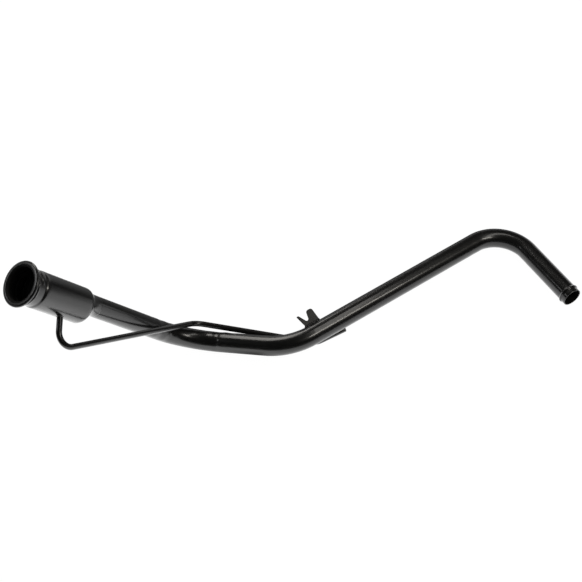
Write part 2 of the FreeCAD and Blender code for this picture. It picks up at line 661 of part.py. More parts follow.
def make_vent_weld(doc, worked, layout):
    """Ring of braze where the vent tube enters the wall of the cup."""
    height = "Sizes.cup_wall + Sizes.weld_leg"
    ring = cone(doc, "vent_weld_ring", "Formulas.vent_r + " + height, "Formulas.vent_r", height)
    tube = cylinder(doc, "vent_weld_tube", "Formulas.vent_r", "2 * Formulas.cup_r")
    shell = cylinder(doc, "vent_weld_shell", "Formulas.cup_r", "Sizes.cup_length")
    turn = Rotation(WORLD_UP, worked("vent_clock")) * Rotation(Vector(1, 0, 0), 90)
    middle = Vector(0, 0, -worked("vent_depth"))
    seat = Placement(middle + turn.multVec(WORLD_UP) * worked("cup_in"), turn)
    shell_foot = Placement(Vector(0, 0, worked("cup_z")), Rotation())
    tools = [(tube, Placement(middle, turn)), (shell, shell_foot)]
    return make_weld(doc, "vent_weld", layout.cup, ((ring, seat), tools))


def make_bracket_weld(doc, worked, layout):
    """Weld bead along the foot of the forked plate."""
    length = "Sizes.bracket_width - 2 * Sizes.weld_leg"
    bead = cylinder(doc, "bracket_weld_bead", "Sizes.weld_leg", length)
    pipe = cylinder(doc, "bracket_weld_pipe", "Formulas.foot_in", "Sizes.bracket_width")
    plate = doc.addObject("Part::Box", "bracket_weld_plate")
    bind(plate, Length="Sizes.pipe_od", Width="2 * Sizes.pipe_od", Height="Sizes.bracket_width")
    start = worked("bracket_start")
    bead_start = Placement(Vector(0, worked("foot_in"), start + worked("weld_leg")), Rotation())
    pipe_start = Placement(Vector(0, 0, start), Rotation())
    return make_weld(doc, "bracket_weld", layout.bracket,
                     ((bead, bead_start), [(pipe, pipe_start), (plate, pipe_start)]))


MAKERS = (
    make_main_pipe, make_filler_cup, make_cup_weld, make_nozzle_guide, make_flap, make_flap_pin,
    make_flap_spring, make_vent_tube, make_vent_weld, make_support_bracket, make_bracket_weld,
)


def check(doc, pieces):
    """Stop if an object failed or a sub-part has no valid solid."""
    for item in doc.Objects:
        if "Invalid" in item.State or "Error" in item.State:
            raise RuntimeError(f"{item.Name} failed: {item.State}")
    for piece in pieces:
        shape = piece.Shape
        if shape.isNull() or not shape.isValid() or not shape.Solids:
            raise RuntimeError(f"{piece.Label} has no valid solid")


def main():
    """Build the filler neck and write one file for each sub-part."""
    doc = FreeCAD.newDocument("FillerNeck")
    worked = Worked(doc)
    layout = Layout(worked)
    pieces = [make(doc, worked, layout) for make in MAKERS]
    doc.recompute()
    check(doc, pieces)
    os.makedirs("parts", exist_ok=True)
    box = FreeCAD.BoundBox()
    for piece in pieces:
        piece.Shape.exportStep(f"parts/{piece.Label}.step")
        box.add(piece.Shape.optimalBoundingBox(False))
        print(f"{piece.Label}: {len(piece.Shape.Solids)} solid, {piece.Shape.Volume:.0f} mm3")
    print(f"box {box.XMin:.2f} {box.YMin:.2f} {box.ZMin:.2f} to {box.XMax:.2f} {box.YMax:.2f} {box.ZMax:.2f}")


main()
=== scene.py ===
"""Fuel filler neck, dressed for rendering: coated pipe and cup, guide with its flap, vent tube, bracket."""
import logging
import math
from dataclasses import dataclass
from enum import Enum
from typing import Callable, Iterable, Sequence

import bpy
from mathutils import Matrix, Vector, noise


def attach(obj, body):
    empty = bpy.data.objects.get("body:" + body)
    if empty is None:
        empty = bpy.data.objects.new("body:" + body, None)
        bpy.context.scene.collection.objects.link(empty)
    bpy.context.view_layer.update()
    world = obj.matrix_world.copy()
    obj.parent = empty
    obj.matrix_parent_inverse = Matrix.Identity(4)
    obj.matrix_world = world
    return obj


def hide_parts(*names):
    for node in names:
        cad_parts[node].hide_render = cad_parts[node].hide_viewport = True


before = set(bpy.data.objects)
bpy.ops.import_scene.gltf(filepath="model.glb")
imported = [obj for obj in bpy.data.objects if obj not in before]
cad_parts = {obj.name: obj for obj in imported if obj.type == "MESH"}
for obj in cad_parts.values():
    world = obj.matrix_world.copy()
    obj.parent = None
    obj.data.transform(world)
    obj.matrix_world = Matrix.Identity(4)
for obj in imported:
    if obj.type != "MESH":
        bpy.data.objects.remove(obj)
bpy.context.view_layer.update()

LOG = logging.getLogger("filler_neck")
MM = 0.001
UP = Vector((0.0, 0.0, 1.0))
WHITE = (1.0, 1.0, 1.0, 1.0)
PHOTO_SIDE = 582.0
CORNER_POINTS = 5
BEVEL_ANGLE = math.radians(40)

Socket = bpy.types.NodeSocket
Triple = tuple[float, float, float]
Pair = tuple[float, float]
Pairs = list[Pair]
Place = tuple[Vector, Vector, Vector]
Ring = list[Vector]
Skin = tuple[list[Vector], list[tuple[int, ...]]]


class Body(Enum):
    """Moving body that a piece rides on."""

    NECK = "neck"
    FLAP = "flap"


class Slot(Enum):
    """Material slot of the record, named for each piece."""

    COATING = "black_coating"
    GUIDE = "guide_coating"
    FLAP = "flap_steel"
    SPRING = "spring_steel"


# ---------------------------------------------------------------- shader nodes


class Graph:
    """Node tree being written, with short calls for its nodes and links."""

    def __init__(self, tree: bpy.types.NodeTree) -> None:
        """Empty a tree and start on it.

        Args:
            tree: Node tree of a material, a world or a node group.
        """
        tree.nodes.clear()
        self.tree = tree
        self.count = 0

    def node(self, kind: str, settings: dict[str, object] | None = None, **values: object) -> bpy.types.Node:
        """Add a node, laid out in rows of eight.

        Args:
            kind: Blender's name of the node type, without its ShaderNode start.
            settings: Properties of the node itself.
            **values: Inputs by name with underscores for blanks; a socket is linked, another value is set.

        Returns:
            The new node.
        """
        node = self.tree.nodes.new(kind if kind.startswith("Node") else "ShaderNode" + kind)
        row, column = divmod(self.count, 8)
        node.location = (220 * column, -260 * row)
        self.count += 1
        for name, value in (settings or {}).items():
            setattr(node, name, value)
        for name, value in values.items():
            self.feed(node.inputs[name.replace("_", " ")], value)
        return node

    def feed(self, socket: Socket, value: object) -> None:
        """Give an input its value.

        Args:
            socket: Input of a node.
            value: Socket to link to it, or the value to set.
        """
        if isinstance(value, Socket):
            self.tree.links.new(value, socket)
        else:
            socket.default_value = value

    def math(self, operation: str, first: object, second: object = 0.0, clamp: bool = False) -> Socket:
        """Add a Math node.

        Args:
            operation: Blender's name of the operation.
            first: Socket or number.
            second: Socket or number.
            clamp: Whether the result stays between 0 and 1.

        Returns:
            The result.
        """
        node = self.node("Math", {"operation": operation, "use_clamp": clamp})
        self.feed(node.inputs[0], first)
        self.feed(node.inputs[1], second)
        return node.outputs[0]

    def times(self, first: object, second: object) -> Socket:
        """Multiply two sockets or numbers."""
        return self.math("MULTIPLY", first, second)

    def place(self) -> Socket:
        """Give the coordinates of the object, in metres."""
        return self.node("TexCoord").outputs["Object"]

    def span(self, value: object, low: float, high: float, to_low: object = 0.0, to_high: object = 1.0) -> Socket:
        """Map a range of values smoothly onto another range, and clamp it there.

        Args:
            value: Socket to map.
            low: Start of the range read.
            high: End of the range read.
            to_low: Result at the start, a socket or a number.
            to_high: Result at the end, a socket or a number.

        Returns:
            The mapped value.
        """
        node = self.node("MapRange", {"interpolation_type": "SMOOTHSTEP"}, Value=value, From_Min=low,
                         From_Max=high, To_Min=to_low, To_Max=to_high)
        return node.outputs["Result"]

    def speckle(self, place: object, scale: float, detail: float = 3.0, roughness: float = 0.5) -> Socket:
        """Add a noise texture, with its cells per metre, its octaves and the strength of the finer ones."""
        node = self.node("TexNoise", Vector=place, Scale=scale, Detail=detail, Roughness=roughness)
        return node.outputs["Fac"]

    def blend(self, share: object, first: object, second: object) -> Socket:
        """Mix two colours.

        Args:
            share: Share of the second colour, a socket or a number.
            first: Socket or colour.
            second: Socket or colour.

        Returns:
            The mixed colour.
        """
        node = self.node("Mix", {"data_type": "RGBA"})
        for number, value in ((0, share), (6, first), (7, second)):
            self.feed(node.inputs[number], value)
        return node.outputs[2]

    def group(self, tree: bpy.types.NodeTree, **values: float) -> bpy.types.bpy_prop_collection:
        """Place a node group with some of its inputs set, and give its outputs."""
        return self.node("Group", {"node_tree": tree}, **values).outputs


def new_group(name: str, inputs: dict[str, float],
              outputs: Sequence[str]) -> tuple[bpy.types.NodeTree, Graph, bpy.types.bpy_prop_collection]:
    """Make an empty shader node group of numbers.

    Args:
        name: Name of the group.
        inputs: Name and default of each input.
        outputs: Name of each output.

    Returns:
        The group, its graph and the sockets of its inputs.
    """
    tree = bpy.data.node_groups.new(name, "ShaderNodeTree")
    for title, value in inputs.items():
        socket = tree.interface.new_socket(title, in_out="INPUT", socket_type="NodeSocketFloat")
        socket.default_value = value
    for title in outputs:
        tree.interface.new_socket(title, in_out="OUTPUT", socket_type="NodeSocketFloat")
    graph = Graph(tree)
    return tree, graph, graph.node("NodeGroupInput").outputs


def new_material(name: str) -> tuple[bpy.types.Material, Graph]:
    """Make an empty node material.

    Args:
        name: Name of the material.

    Returns:
        The material and its graph.
    """
    made = bpy.data.materials.new(name)
    made.use_nodes = True
    return made, Graph(made.node_tree)


class Effects:
    """Node groups that several finishes share, each made once; their scales are in cells per metre."""

    PEEL_SCALE = 620.0
    WAVE_SCALE = 55.0
    WAVE_HEIGHT = 6.0
    MOTTLE_SCALE = 130.0
    SCRATCHES = ((0.5, (420.0, 26.0, 60.0)), (-0.9, (40.0, 380.0, 30.0)))
    PATCH_SCALE = 34.0
    SMUDGE_SCALE = 48.0
    WEAR_START = 0.56
    WEAR_GAIN = 14.0
    CHIP_SCALE = 900.0
    GRAIN_SCALE = 2600.0
    FILM_SCALE = 22.0

    def __init__(self) -> None:
        """Make the groups."""
        self.skin = self._sprayed_skin()
        self.marks = self._handling_marks()
        self.wear = self._worn_edges()
        self.dust = self._settled_dust()

    def _sprayed_skin(self) -> bpy.types.NodeTree:
        """Make the fine orange peel of a sprayed coat over slow waves of the metal.

        Returns:
            Group with the outputs Height and Mottle.
        """
        tree, graph, given = new_group("sprayed_skin", {"Peel": 0.5, "Waves": 0.5}, ("Height", "Mottle"))
        place = graph.place()
        fine = graph.times(graph.speckle(place, self.PEEL_SCALE, 2.0, 0.4), given["Peel"])
        height = graph.times(given["Waves"], self.WAVE_HEIGHT)
        slow = graph.times(graph.speckle(place, self.WAVE_SCALE, 2.0, 0.35), height)
        mottle = graph.span(graph.speckle(place, self.MOTTLE_SCALE, 5.0, 0.6), 0.35, 0.7)
        graph.node("NodeGroupOutput", Height=graph.math("ADD", fine, slow), Mottle=mottle)
        return tree

    def _handling_marks(self) -> bpy.types.NodeTree:
        """Make hair scratches and rubbed smudges.

        Returns:
            Group with the outputs Scratch and Smudge.
        """
        tree, graph, given = new_group("handling_marks", {"Density": 0.5}, ("Scratch", "Smudge"))
        place = graph.place()
        layers = []
        for turn, stretch in self.SCRATCHES:
            laid = graph.node("Mapping", Vector=place, Rotation=(0.4, turn, turn), Scale=stretch)
            lines = graph.speckle(laid.outputs["Vector"], 3.0, 1.0, 0.3)
            middle = graph.math("ABSOLUTE", graph.math("SUBTRACT", lines, 0.5))
            layers.append(graph.span(middle, 0.0, 0.012, 1.0, 0.0))
        edge = graph.math("SUBTRACT", 0.78, graph.times(given["Density"], 0.3))
        where = graph.math("GREATER_THAN", graph.speckle(place, self.PATCH_SCALE, 2.0), edge)
        scratch = graph.times(graph.math("MAXIMUM", layers[0], layers[1]), where)
        smudge = graph.span(graph.speckle(place, self.SMUDGE_SCALE, 4.0, 0.65), 0.45, 0.75)
        graph.node("NodeGroupOutput", Scratch=scratch, Smudge=graph.times(smudge, given["Density"]))
        return tree

    def _worn_edges(self) -> bpy.types.NodeTree:
        """Make the mask of the sharp convex edges, broken up by chips.

        Returns:
            Group with the output Wear.
        """
        tree, graph, given = new_group("worn_edges", {"Amount": 0.5}, ("Wear",))
        shape = graph.node("NewGeometry").outputs["Pointiness"]
        sharp = graph.math("MULTIPLY", graph.math("SUBTRACT", shape, self.WEAR_START), self.WEAR_GAIN, True)
        chips = graph.span(graph.speckle(graph.place(), self.CHIP_SCALE, 4.0, 0.6), 0.42, 0.62)
        graph.node("NodeGroupOutput", Wear=graph.times(graph.times(sharp, chips), given["Amount"]))
        return tree

    def _settled_dust(self) -> bpy.types.NodeTree:
        """Make the mask of the fine dust on faces that look up.

        Returns:
            Group with the output Dust.
        """
        tree, graph, given = new_group("settled_dust", {"Amount": 0.3}, ("Dust",))
        place = graph.place()
        level = graph.node("SeparateXYZ", Vector=graph.node("NewGeometry").outputs["Normal"]).outputs["Z"]
        grains = graph.span(graph.speckle(place, self.GRAIN_SCALE, 2.0, 0.7), 0.58, 0.72)
        film = graph.times(graph.speckle(place, self.FILM_SCALE, 4.0), 0.5)
        dust = graph.times(graph.math("ADD", grains, film), graph.span(level, 0.2, 1.0))
        graph.node("NodeGroupOutput", Dust=graph.times(dust, given["Amount"]))
        return tree


@dataclass(frozen=True)
class Coating:
    """Black coat sprayed over steel."""

    name: str
    colour: Triple = (0.0024, 0.0023, 0.0022)
    under: Triple = (0.16, 0.155, 0.15)
    dust_colour: Triple = (0.42, 0.40, 0.37)
    mottle: float = 1.9
    roughness: float = 0.3
    gloss_spread: float = 0.1
    coat: float = 0.7
    coat_roughness: float = 0.13
    sheen: float = 0.5
    peel: float = 0.03
    waves: float = 0.6
    bump: float = 0.12
    bump_height: float = 0.4 * MM
    wear: float = 0.35
    dust: float = 0.012
    dust_dulling: float = 0.6
    marks: float = 0.35
    scratch_share: float = 0.25
    scratch_depth: float = 0.15

    def material(self, effects: Effects) -> bpy.types.Material:
        """Write the material.

        Args:
            effects: Node groups that the finishes share.

        Returns:
            The material.
        """
        made, graph = new_material(self.name)
        skin = graph.group(effects.skin, Peel=self.peel, Waves=self.waves)
        marks = graph.group(effects.marks, Density=self.marks)
        wear = graph.group(effects.wear, Amount=self.wear)["Wear"]
        dust = graph.group(effects.dust, Amount=self.dust)["Dust"]
        lighter = tuple(min(1.0, part * self.mottle) for part in self.colour)
        base = graph.blend(skin["Mottle"], self.colour + (1.0,), lighter + (1.0,))
        rubbed = graph.blend(graph.times(marks["Scratch"], self.scratch_share), base, self.under + (1.0,))
        bare = graph.blend(wear, rubbed, self.under + (1.0,))
        dusty = graph.blend(dust, bare, self.dust_colour + (1.0,))
        spread = graph.times(marks["Smudge"], self.gloss_spread * 2.0)
        dull = graph.times(dust, self.dust_dulling)
        rough = graph.math("ADD", graph.math("ADD", spread, self.roughness), dull, True)
        relief = graph.math("SUBTRACT", skin["Height"], graph.times(marks["Scratch"], self.scratch_depth))
        bump = graph.node("Bump", Strength=self.bump, Distance=self.bump_height, Height=relief)
        shader = graph.node("BsdfPrincipled", Base_Color=dusty, Roughness=rough, Metallic=0.0,
                            Specular_IOR_Level=self.sheen, Coat_Weight=self.coat,
                            Coat_Roughness=self.coat_roughness, Normal=bump.outputs["Normal"])
        graph.node("OutputMaterial", Surface=shader.outputs["BSDF"])
        return made


@dataclass(frozen=True)
class BareSteel:
    """Plated or bare steel with drawn lines."""

    name: str
    colour: Triple = (0.36, 0.36, 0.35)
    stain: Triple = (0.12, 0.105, 0.09)
    roughness: float = 0.36
    gloss_spread: float = 0.2
    lines: Triple = (1800.0, 1800.0, 90.0)
    line_share: float = 0.25
    line_depth: float = 0.25
    tarnish: float = 0.5
    peel: float = 0.2
    waves: float = 0.3
    bump: float = 0.2
    bump_height: float = 0.3 * MM
    marks: float = 0.8

    def material(self, effects: Effects) -> bpy.types.Material:
        """Write the material.

        Args:
            effects: Node groups that the finishes share.

        Returns:
            The material.
        """
        made, graph = new_material(self.name)
        skin = graph.group(effects.skin, Peel=self.peel, Waves=self.waves)
        marks = graph.group(effects.marks, Density=self.marks)
        laid = graph.node("Mapping", Vector=graph.place(), Scale=self.lines)
        lines = graph.speckle(laid.outputs["Vector"], 1.0, 3.0, 0.6)
        stain = self.stain + (1.0,)
        stained = graph.blend(graph.times(skin["Mottle"], self.tarnish), self.colour + (1.0,), stain)
        shade = graph.blend(graph.times(lines, self.line_share), stained, stain)
        rough = graph.math("ADD", graph.times(marks["Smudge"], self.gloss_spread), self.roughness, True)
        relief = graph.math("ADD", skin["Height"], graph.times(lines, self.line_depth))
        bump = graph.node("Bump", Strength=self.bump, Distance=self.bump_height, Height=relief)
        shader = graph.node("BsdfPrincipled", Base_Color=shade, Roughness=rough, Metallic=1.0,
                            Normal=bump.outputs["Normal"])
        graph.node("OutputMaterial", Surface=shader.outputs["BSDF"])
        return made


class Finishes:
    """Materials of the part, by where they are used."""

    def __init__(self) -> None:
        """Write each material once."""
        self.effects = Effects()
        self.coated = self._coating("gloss_black_coating")
        self.cup = self._coating("cup_black_coating", roughness=0.32, coat=0.9, coat_roughness=0.16, sheen=0.6,
                                 waves=0.35)
        self.bore = self._coating("pipe_inside", colour=(0.004, 0.0038, 0.0036), roughness=0.6, sheen=0.12,
                                  coat=0.0, peel=0.9, wear=0.0, dust=0.0, bump=0.3)
        self.bead = self._coating("weld_black_coating", roughness=0.4, coat=0.5, peel=0.9, waves=1.0, bump=0.35,
                                  wear=0.5)
        self.plate = self._coating("bracket_black_coating", roughness=0.42, sheen=0.2, coat=0.12,
                                   coat_roughness=0.25, wear=0.8, dust=0.02)
        self.guide = self._coating("guide_satin_coating", colour=(0.006, 0.006, 0.0058), roughness=0.45,
                                   sheen=0.25, coat=0.1, peel=0.5)
        plating = BareSteel("flap_dark_plating", colour=(0.05, 0.05, 0.05), roughness=0.45, tarnish=0.6)
        self.flap = plating.material(self.effects)
        self.spring = BareSteel("spring_bare_steel").material(self.effects)

    def _coating(self, name: str, **sizes: object) -> bpy.types.Material:
        """Write a coating that differs from the plain one by some of its fields."""
        return Coating(name, **sizes).material(self.effects)


# ---------------------------------------------------------------- mesh making


def mesh_object(name: str, skin: tuple[Sequence[Vector], Sequence[Sequence[int]]],
                materials: Sequence[bpy.types.Material], chosen: Sequence[int] | None = None) -> bpy.types.Object:
    """Make a smooth-shaded object.

    Args:
        name: Name of the piece.
        skin: Points in metres, and the point numbers of each face.
        materials: Materials of the piece.
        chosen: Material number of each face; all 0 without it.

    Returns:
        The object, linked to the scene.
    """
    mesh = bpy.data.meshes.new(name)
    mesh.from_pydata([tuple(point) for point in skin[0]], [], [tuple(face) for face in skin[1]])
    for material in materials:
        mesh.materials.append(material)
    if chosen is not None:
        mesh.polygons.foreach_set("material_index", list(chosen))
    mesh.polygons.foreach_set("use_smooth", [True] * len(mesh.polygons))
    mesh.validate()
    mesh.update()
    made = bpy.data.objects.new(name, mesh)
    bpy.context.scene.collection.objects.link(made)
    return made


def modify(made: bpy.types.Object, kind: str, **settings: object) -> None:
    """Add a modifier and set it.

    Args:
        made: Object to change.
        kind: Blender's name of the modifier type.
        **settings: Properties of the modifier.
    """
    modifier = made.modifiers.new(kind.lower(), kind)
    for name, value in settings.items():
        setattr(modifier, name, value)


def circle(count: int) -> Pairs:
    """Give the cosine and sine of evenly spaced angles of a full turn."""
    angles = (2 * math.pi * step / count for step in range(count))
    return [(math.cos(angle), math.sin(angle)) for angle in angles]


def chain(rings: Sequence[Ring], closed: bool) -> Skin:
    """Join rings of equal count into a skin.

    Args:
        rings: Rings in order.
        closed: Whether the last ring joins the first.

    Returns:
        The points and the four-sided faces, ring by ring.
    """
    count = len(rings[0])
    points = [point for ring in rings for point in ring]
    faces: list[tuple[int, ...]] = []
    for index in range(len(rings) if closed else len(rings) - 1):
        here, there = index * count, (index + 1) % len(rings) * count
        for step in range(count):
            after = (step + 1) % count
            faces.append((here + step, here + after, there + after, there + step))
    return points, faces


def capped(rings: Sequence[Ring]) -> Skin:
    """Join rings into a skin with a flat face at each end."""
    (points, faces), count = chain(rings, False), len(rings[0])
    return points, faces + [tuple(range(count))[::-1], tuple(range(len(points) - count, len(points)))]


def turned(place: Matrix, outline: Sequence[Pair], around: int) -> Skin:
    """Turn a closed outline of radius and height pairs round the Z axis of a frame."""
    rings = [[place @ Vector((radius * cosine, radius * sine, height)) for cosine, sine in circle(around)]
             for radius, height in outline]
    return chain(rings, True)


def prism(place: Matrix, outline: Sequence[Pair], low: float, high: float) -> Skin:
    """Extrude an outline of the YZ plane along X.

    Args:
        place: Frame of the plate.
        outline: Corners in millimetres.
        low: Start along X.
        high: End along X.

    Returns:
        Points and faces of the closed prism.
    """
    count = len(outline)
    points = [place @ Vector((level, side, height)) for level in (low, high) for side, height in outline]
    faces: list[tuple[int, ...]] = [tuple(range(count))[::-1], tuple(range(count, 2 * count))]
    for step in range(count):
        after = (step + 1) % count
        faces.append((step, after, after + count, step + count))
    return points, faces


def merged(skins: Iterable[Skin]) -> Skin:
    """Put several skins in one.

    Args:
        skins: Skins in order.

    Returns:
        One list of points and one of faces.
    """
    points: list[Vector] = []
    faces: list[tuple[int, ...]] = []
    for more, skin in skins:
        faces += [tuple(index + len(points) for index in face) for face in skin]
        points += list(more)
    return points, faces


def bow(middle: Pair, radius: float, start: float, end: float, count: int) -> Pairs:
    """Sample an arc of an outline, from its start to its end in degrees, in so many steps."""
    angles = [math.radians(start + (end - start) * step / count) for step in range(count + 1)]
    return [(middle[0] + radius * math.cos(angle), middle[1] + radius * math.sin(angle)) for angle in angles]


def softened(corners: Sequence[Pair], cut: float) -> Pairs:
    """Replace each corner of a closed outline with a short curve of CORNER_POINTS points.

    Args:
        corners: Corners in order.
        cut: Longest cut on each side of a corner.

    Returns:
        The softened outline.
    """
    result = []
    for index, corner in enumerate(corners):
        here = Vector(corner)
        back = Vector(corners[index - 1]) - here
        ahead = Vector(corners[(index + 1) % len(corners)]) - here
        reach = min(cut, back.length * 0.45, ahead.length * 0.45)
        start, end = here + back.normalized() * reach, here + ahead.normalized() * reach
        for step in range(CORNER_POINTS):
            share = step / (CORNER_POINTS - 1)
            spot = start * (1 - share) ** 2 + here * (2 * share * (1 - share)) + end * share ** 2
            result.append((spot.x, spot.y))
    return result


def eased(table: Sequence[Pair], where: float) -> float:
    """Read a smooth curve through a table.

    Args:
        table: Places and values, in rising order of place.
        where: Place to read.

    Returns:
        The value there.
    """
    last = len(table) - 1
    index = next((number for number in range(last - 1) if where <= table[number + 1][0]), last - 1)
    (start, low), (end, high) = table[index], table[index + 1]
    before, after = table[max(index - 1, 0)], table[min(index + 2, last)]
    slope_in = (high - before[1]) / (end - before[0])
    slope_out = (after[1] - low) / (after[0] - start)
    span = end - start
    share = (where - start) / span
    square, cube = share ** 2, share ** 3
    return ((2 * cube - 3 * square + 1) * low + (cube - 2 * square + share) * slope_in * span
            + (3 * square - 2 * cube) * high + (cube - square) * slope_out * span)


def frame_of(origin: Vector, x_axis: Vector, y_axis: Vector, z_axis: Vector) -> Matrix:
    """Make a frame in metres whose local sizes are millimetres."""
    turn = Matrix((x_axis, y_axis, z_axis)).transposed().to_4x4()
    return Matrix.Translation(origin) @ turn @ Matrix.Scale(MM, 4)


@dataclass
class Run:
    """Straight run or arc of a route."""

    start: float
    length: float
    origin: Vector
    ahead: Vector
    inward: Vector
    radius: float = 0.0

    def at(self, along: float) -> Place:
        """Read a place on the run.

        Args:
            along: Distance from the start of the route.

        Returns:
            The place, the direction of travel and the direction to the middle of the bend.
        """
        gone = along - self.start
        if not self.radius:
            return self.origin + self.ahead * gone, self.ahead, self.inward
        turn = gone / self.radius
        back = self.inward * -math.cos(turn) + self.ahead * math.sin(turn)
        middle = self.origin + self.inward * self.radius
        return middle + back * self.radius, self.ahead * math.cos(turn) + self.inward * math.sin(turn), -back


class Route:
    """Straight runs joined by tangent arcs, read by distance."""

    def __init__(self, corners: Sequence[Vector], radii: Sequence[float]) -> None:
        """Lay out the runs.

        Args:
            corners: Start, corners and end in metres.
            radii: Radius of the arc at each inner corner.
        """
        self.runs: list[Run] = []
        self.bends: Pairs = []
        place, gone, side = corners[0], 0.0, Vector()
        for before, corner, after, radius in zip(corners, corners[1:], corners[2:], radii):
            ahead, leaving = (corner - before).normalized(), (after - corner).normalized()
            half = ahead.angle(leaving) / 2
            cut, sweep = radius * math.tan(half), 2 * half * radius
            tangent = corner - ahead * cut
            side = (leaving - ahead * leaving.dot(ahead)).normalized()
            straight = (tangent - place).length
            self.runs.append(Run(gone, straight, place, ahead, side))
            gone += straight
            self.runs.append(Run(gone, sweep, tangent, ahead, side, radius))
            self.bends.append((gone, gone + sweep))
            gone += sweep
            place = corner + leaving * cut
            side = (side * math.cos(2 * half) - ahead * math.sin(2 * half)).normalized()
        rest = corners[-1] - place
        self.runs.append(Run(gone, rest.length, place, rest.normalized(), side))
        self.length = gone + rest.length

    def at(self, along: float) -> Place:
        """Read a place on the route.

        Args:
            along: Distance from the start.

        Returns:
            The place, the direction of travel and the direction to the middle of the nearest bend.
        """
        found = next((run for run in self.runs if along <= run.start + run.length), self.runs[-1])
        return found.at(along)


@dataclass
class Tube:
    """Round tube along a route, with its bore and rounded ends."""

    name: str
    route: Route
    radius: float
    wall: float
    around: int
    step: float
    fine_step: float = 0.35 * MM
    fine_from: float | None = None
    swell: Callable[[float, Vector, Vector], float] | None = None

    def build(self, materials: Sequence[bpy.types.Material]) -> bpy.types.Object:
        """Build the tube.

        Args:
            materials: Outside and inside material.

        Returns:
            The tube's object.
        """
        outer: list[Ring] = []
        places: list[Place] = []
        before = self.route.at(0.0)[1]
        across = before.orthogonal().normalized()
        for along in self._stations():
            spot, ahead, inward = self.route.at(along)
            across = before.rotation_difference(ahead) @ across
            across = (across - ahead * across.dot(ahead)).normalized()
            before = ahead
            side = ahead.cross(across)
            ring = []
            for cosine, sine in circle(self.around):
                out = across * cosine + side * sine
                more = self.swell(along, out, inward) if self.swell else 0.0
                ring.append(spot + out * (self.radius + more))
            outer.append(ring)
            places.append((spot, ahead, across))
        inner = [self._plain(place, self.radius - self.wall) for place in places]
        end = [self._lip(places[-1], 1.0, share) for share in (0.25, 0.5, 0.75)]
        start = [self._lip(places[0], -1.0, share) for share in (0.75, 0.5, 0.25)]
        rings = outer + end + inner[::-1] + start
        skin = chain(rings, True)
        bore = range((len(outer) + len(end)) * self.around, len(skin[1]) - (len(start) + 1) * self.around)
        LOG.info("%s: %d rings, route %.0f mm", self.name, len(rings), self.route.length / MM)
        return mesh_object(self.name, skin, materials, [int(index in bore) for index in range(len(skin[1]))])

    def _stations(self) -> list[float]:
        """Give the distances of the rings, closer together near a shaped end.

        Returns:
            Distances from the start of the route.
        """
        lip = self.wall / 2
        stations, along = [], lip
        while along < self.route.length - lip:
            stations.append(along)
            fine = self.fine_from is not None and along >= self.fine_from
            along += self.fine_step if fine else self.step
        return stations + [self.route.length - lip]

    def _plain(self, place: Place, radius: float) -> Ring:
        """Make a plain ring round a place."""
        (spot, ahead, across), side = place, place[1].cross(place[2])
        return [spot + (across * cosine + side * sine) * radius for cosine, sine in circle(self.around)]

    def _lip(self, place: Place, way: float, share: float) -> Ring:
        """Make a ring of a rounded end.

        Args:
            place: Middle of the end, direction of travel and a direction across.
            way: 1 at the end of the route, -1 at its start.
            share: Share of the half circle from outside to inside.

        Returns:
            The ring.
        """
        lip = self.wall / 2
        spot, ahead, across = place
        shifted = spot + ahead * (way * lip * math.sin(math.pi * share))
        return self._plain((shifted, ahead, across), self.radius - lip + lip * math.cos(math.pi * share))


# ---------------------------------------------------------------- the part


@dataclass
class Layout:
    """Places in millimetres that several pieces share, measured from the point on the floor."""

    floor_point: Triple = (-39.96, -62.98, 0.0)
    leg_top: Triple = (-318.7, -35.0, 268.5)
    first_bend: Triple = (-152.3, 49.0, 4.8)
    bottom_bend: Triple = (0.0, 0.0, 35.2)
    top_bend: Triple = (337.9, 212.6, 13.56)
    tank_end: Triple = (411.0, 65.7, 16.036)
    collar_offset: float = 5.3 * MM
    cup_clock: float = 48.0
    bracket_along: float = 47.4 * MM
    bracket_clock: float = -56.0

    def __post_init__(self) -> None:
        """Work out the frames of the cup and of the bracket."""
        self.ground = Vector(self.floor_point) * MM
        places = (self.leg_top, self.first_bend, self.bottom_bend, self.top_bend, self.tank_end)
        self.top, self.first, self.corner, self.upper, self.tank = (self.at(place) for place in places)
        self.leg = (self.first - self.top).normalized()
        out = -self.leg
        beside = self._clocked(out, self.cup_clock)
        self.cup = frame_of(self.top - beside * self.collar_offset, beside.cross(out), beside, out)
        run = (self.upper - self.corner).normalized()
        away = self._clocked(run, self.bracket_clock)
        self.bracket = frame_of(self.corner + run * self.bracket_along, away.cross(run), away, run)

    def at(self, place: Triple) -> Vector:
        """Turn a place of this layout into one of the part's frame."""
        return self.ground + Vector(place) * MM

    def _clocked(self, axis: Vector, degrees: float) -> Vector:
        """Give the direction square to an axis, turned from the upward side."""
        level = (UP - axis * axis.dot(UP)).normalized()
        return Matrix.Rotation(math.radians(degrees), 3, axis) @ level


def settle(made: bpy.types.Object, node: str, slot: Slot = Slot.COATING, body: Body = Body.NECK) -> None:
    """Let a piece stand for a CAD node and ride on its body.

    Args:
        made: Finished piece.
        node: CAD node that it replaces.
        slot: Material slot of the record; not used.
        body: Body that it moves with.
    """
    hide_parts(node)
    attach(made, body.value)
    LOG.info("%s stands for %s: %d faces", made.name, node, len(made.data.polygons))


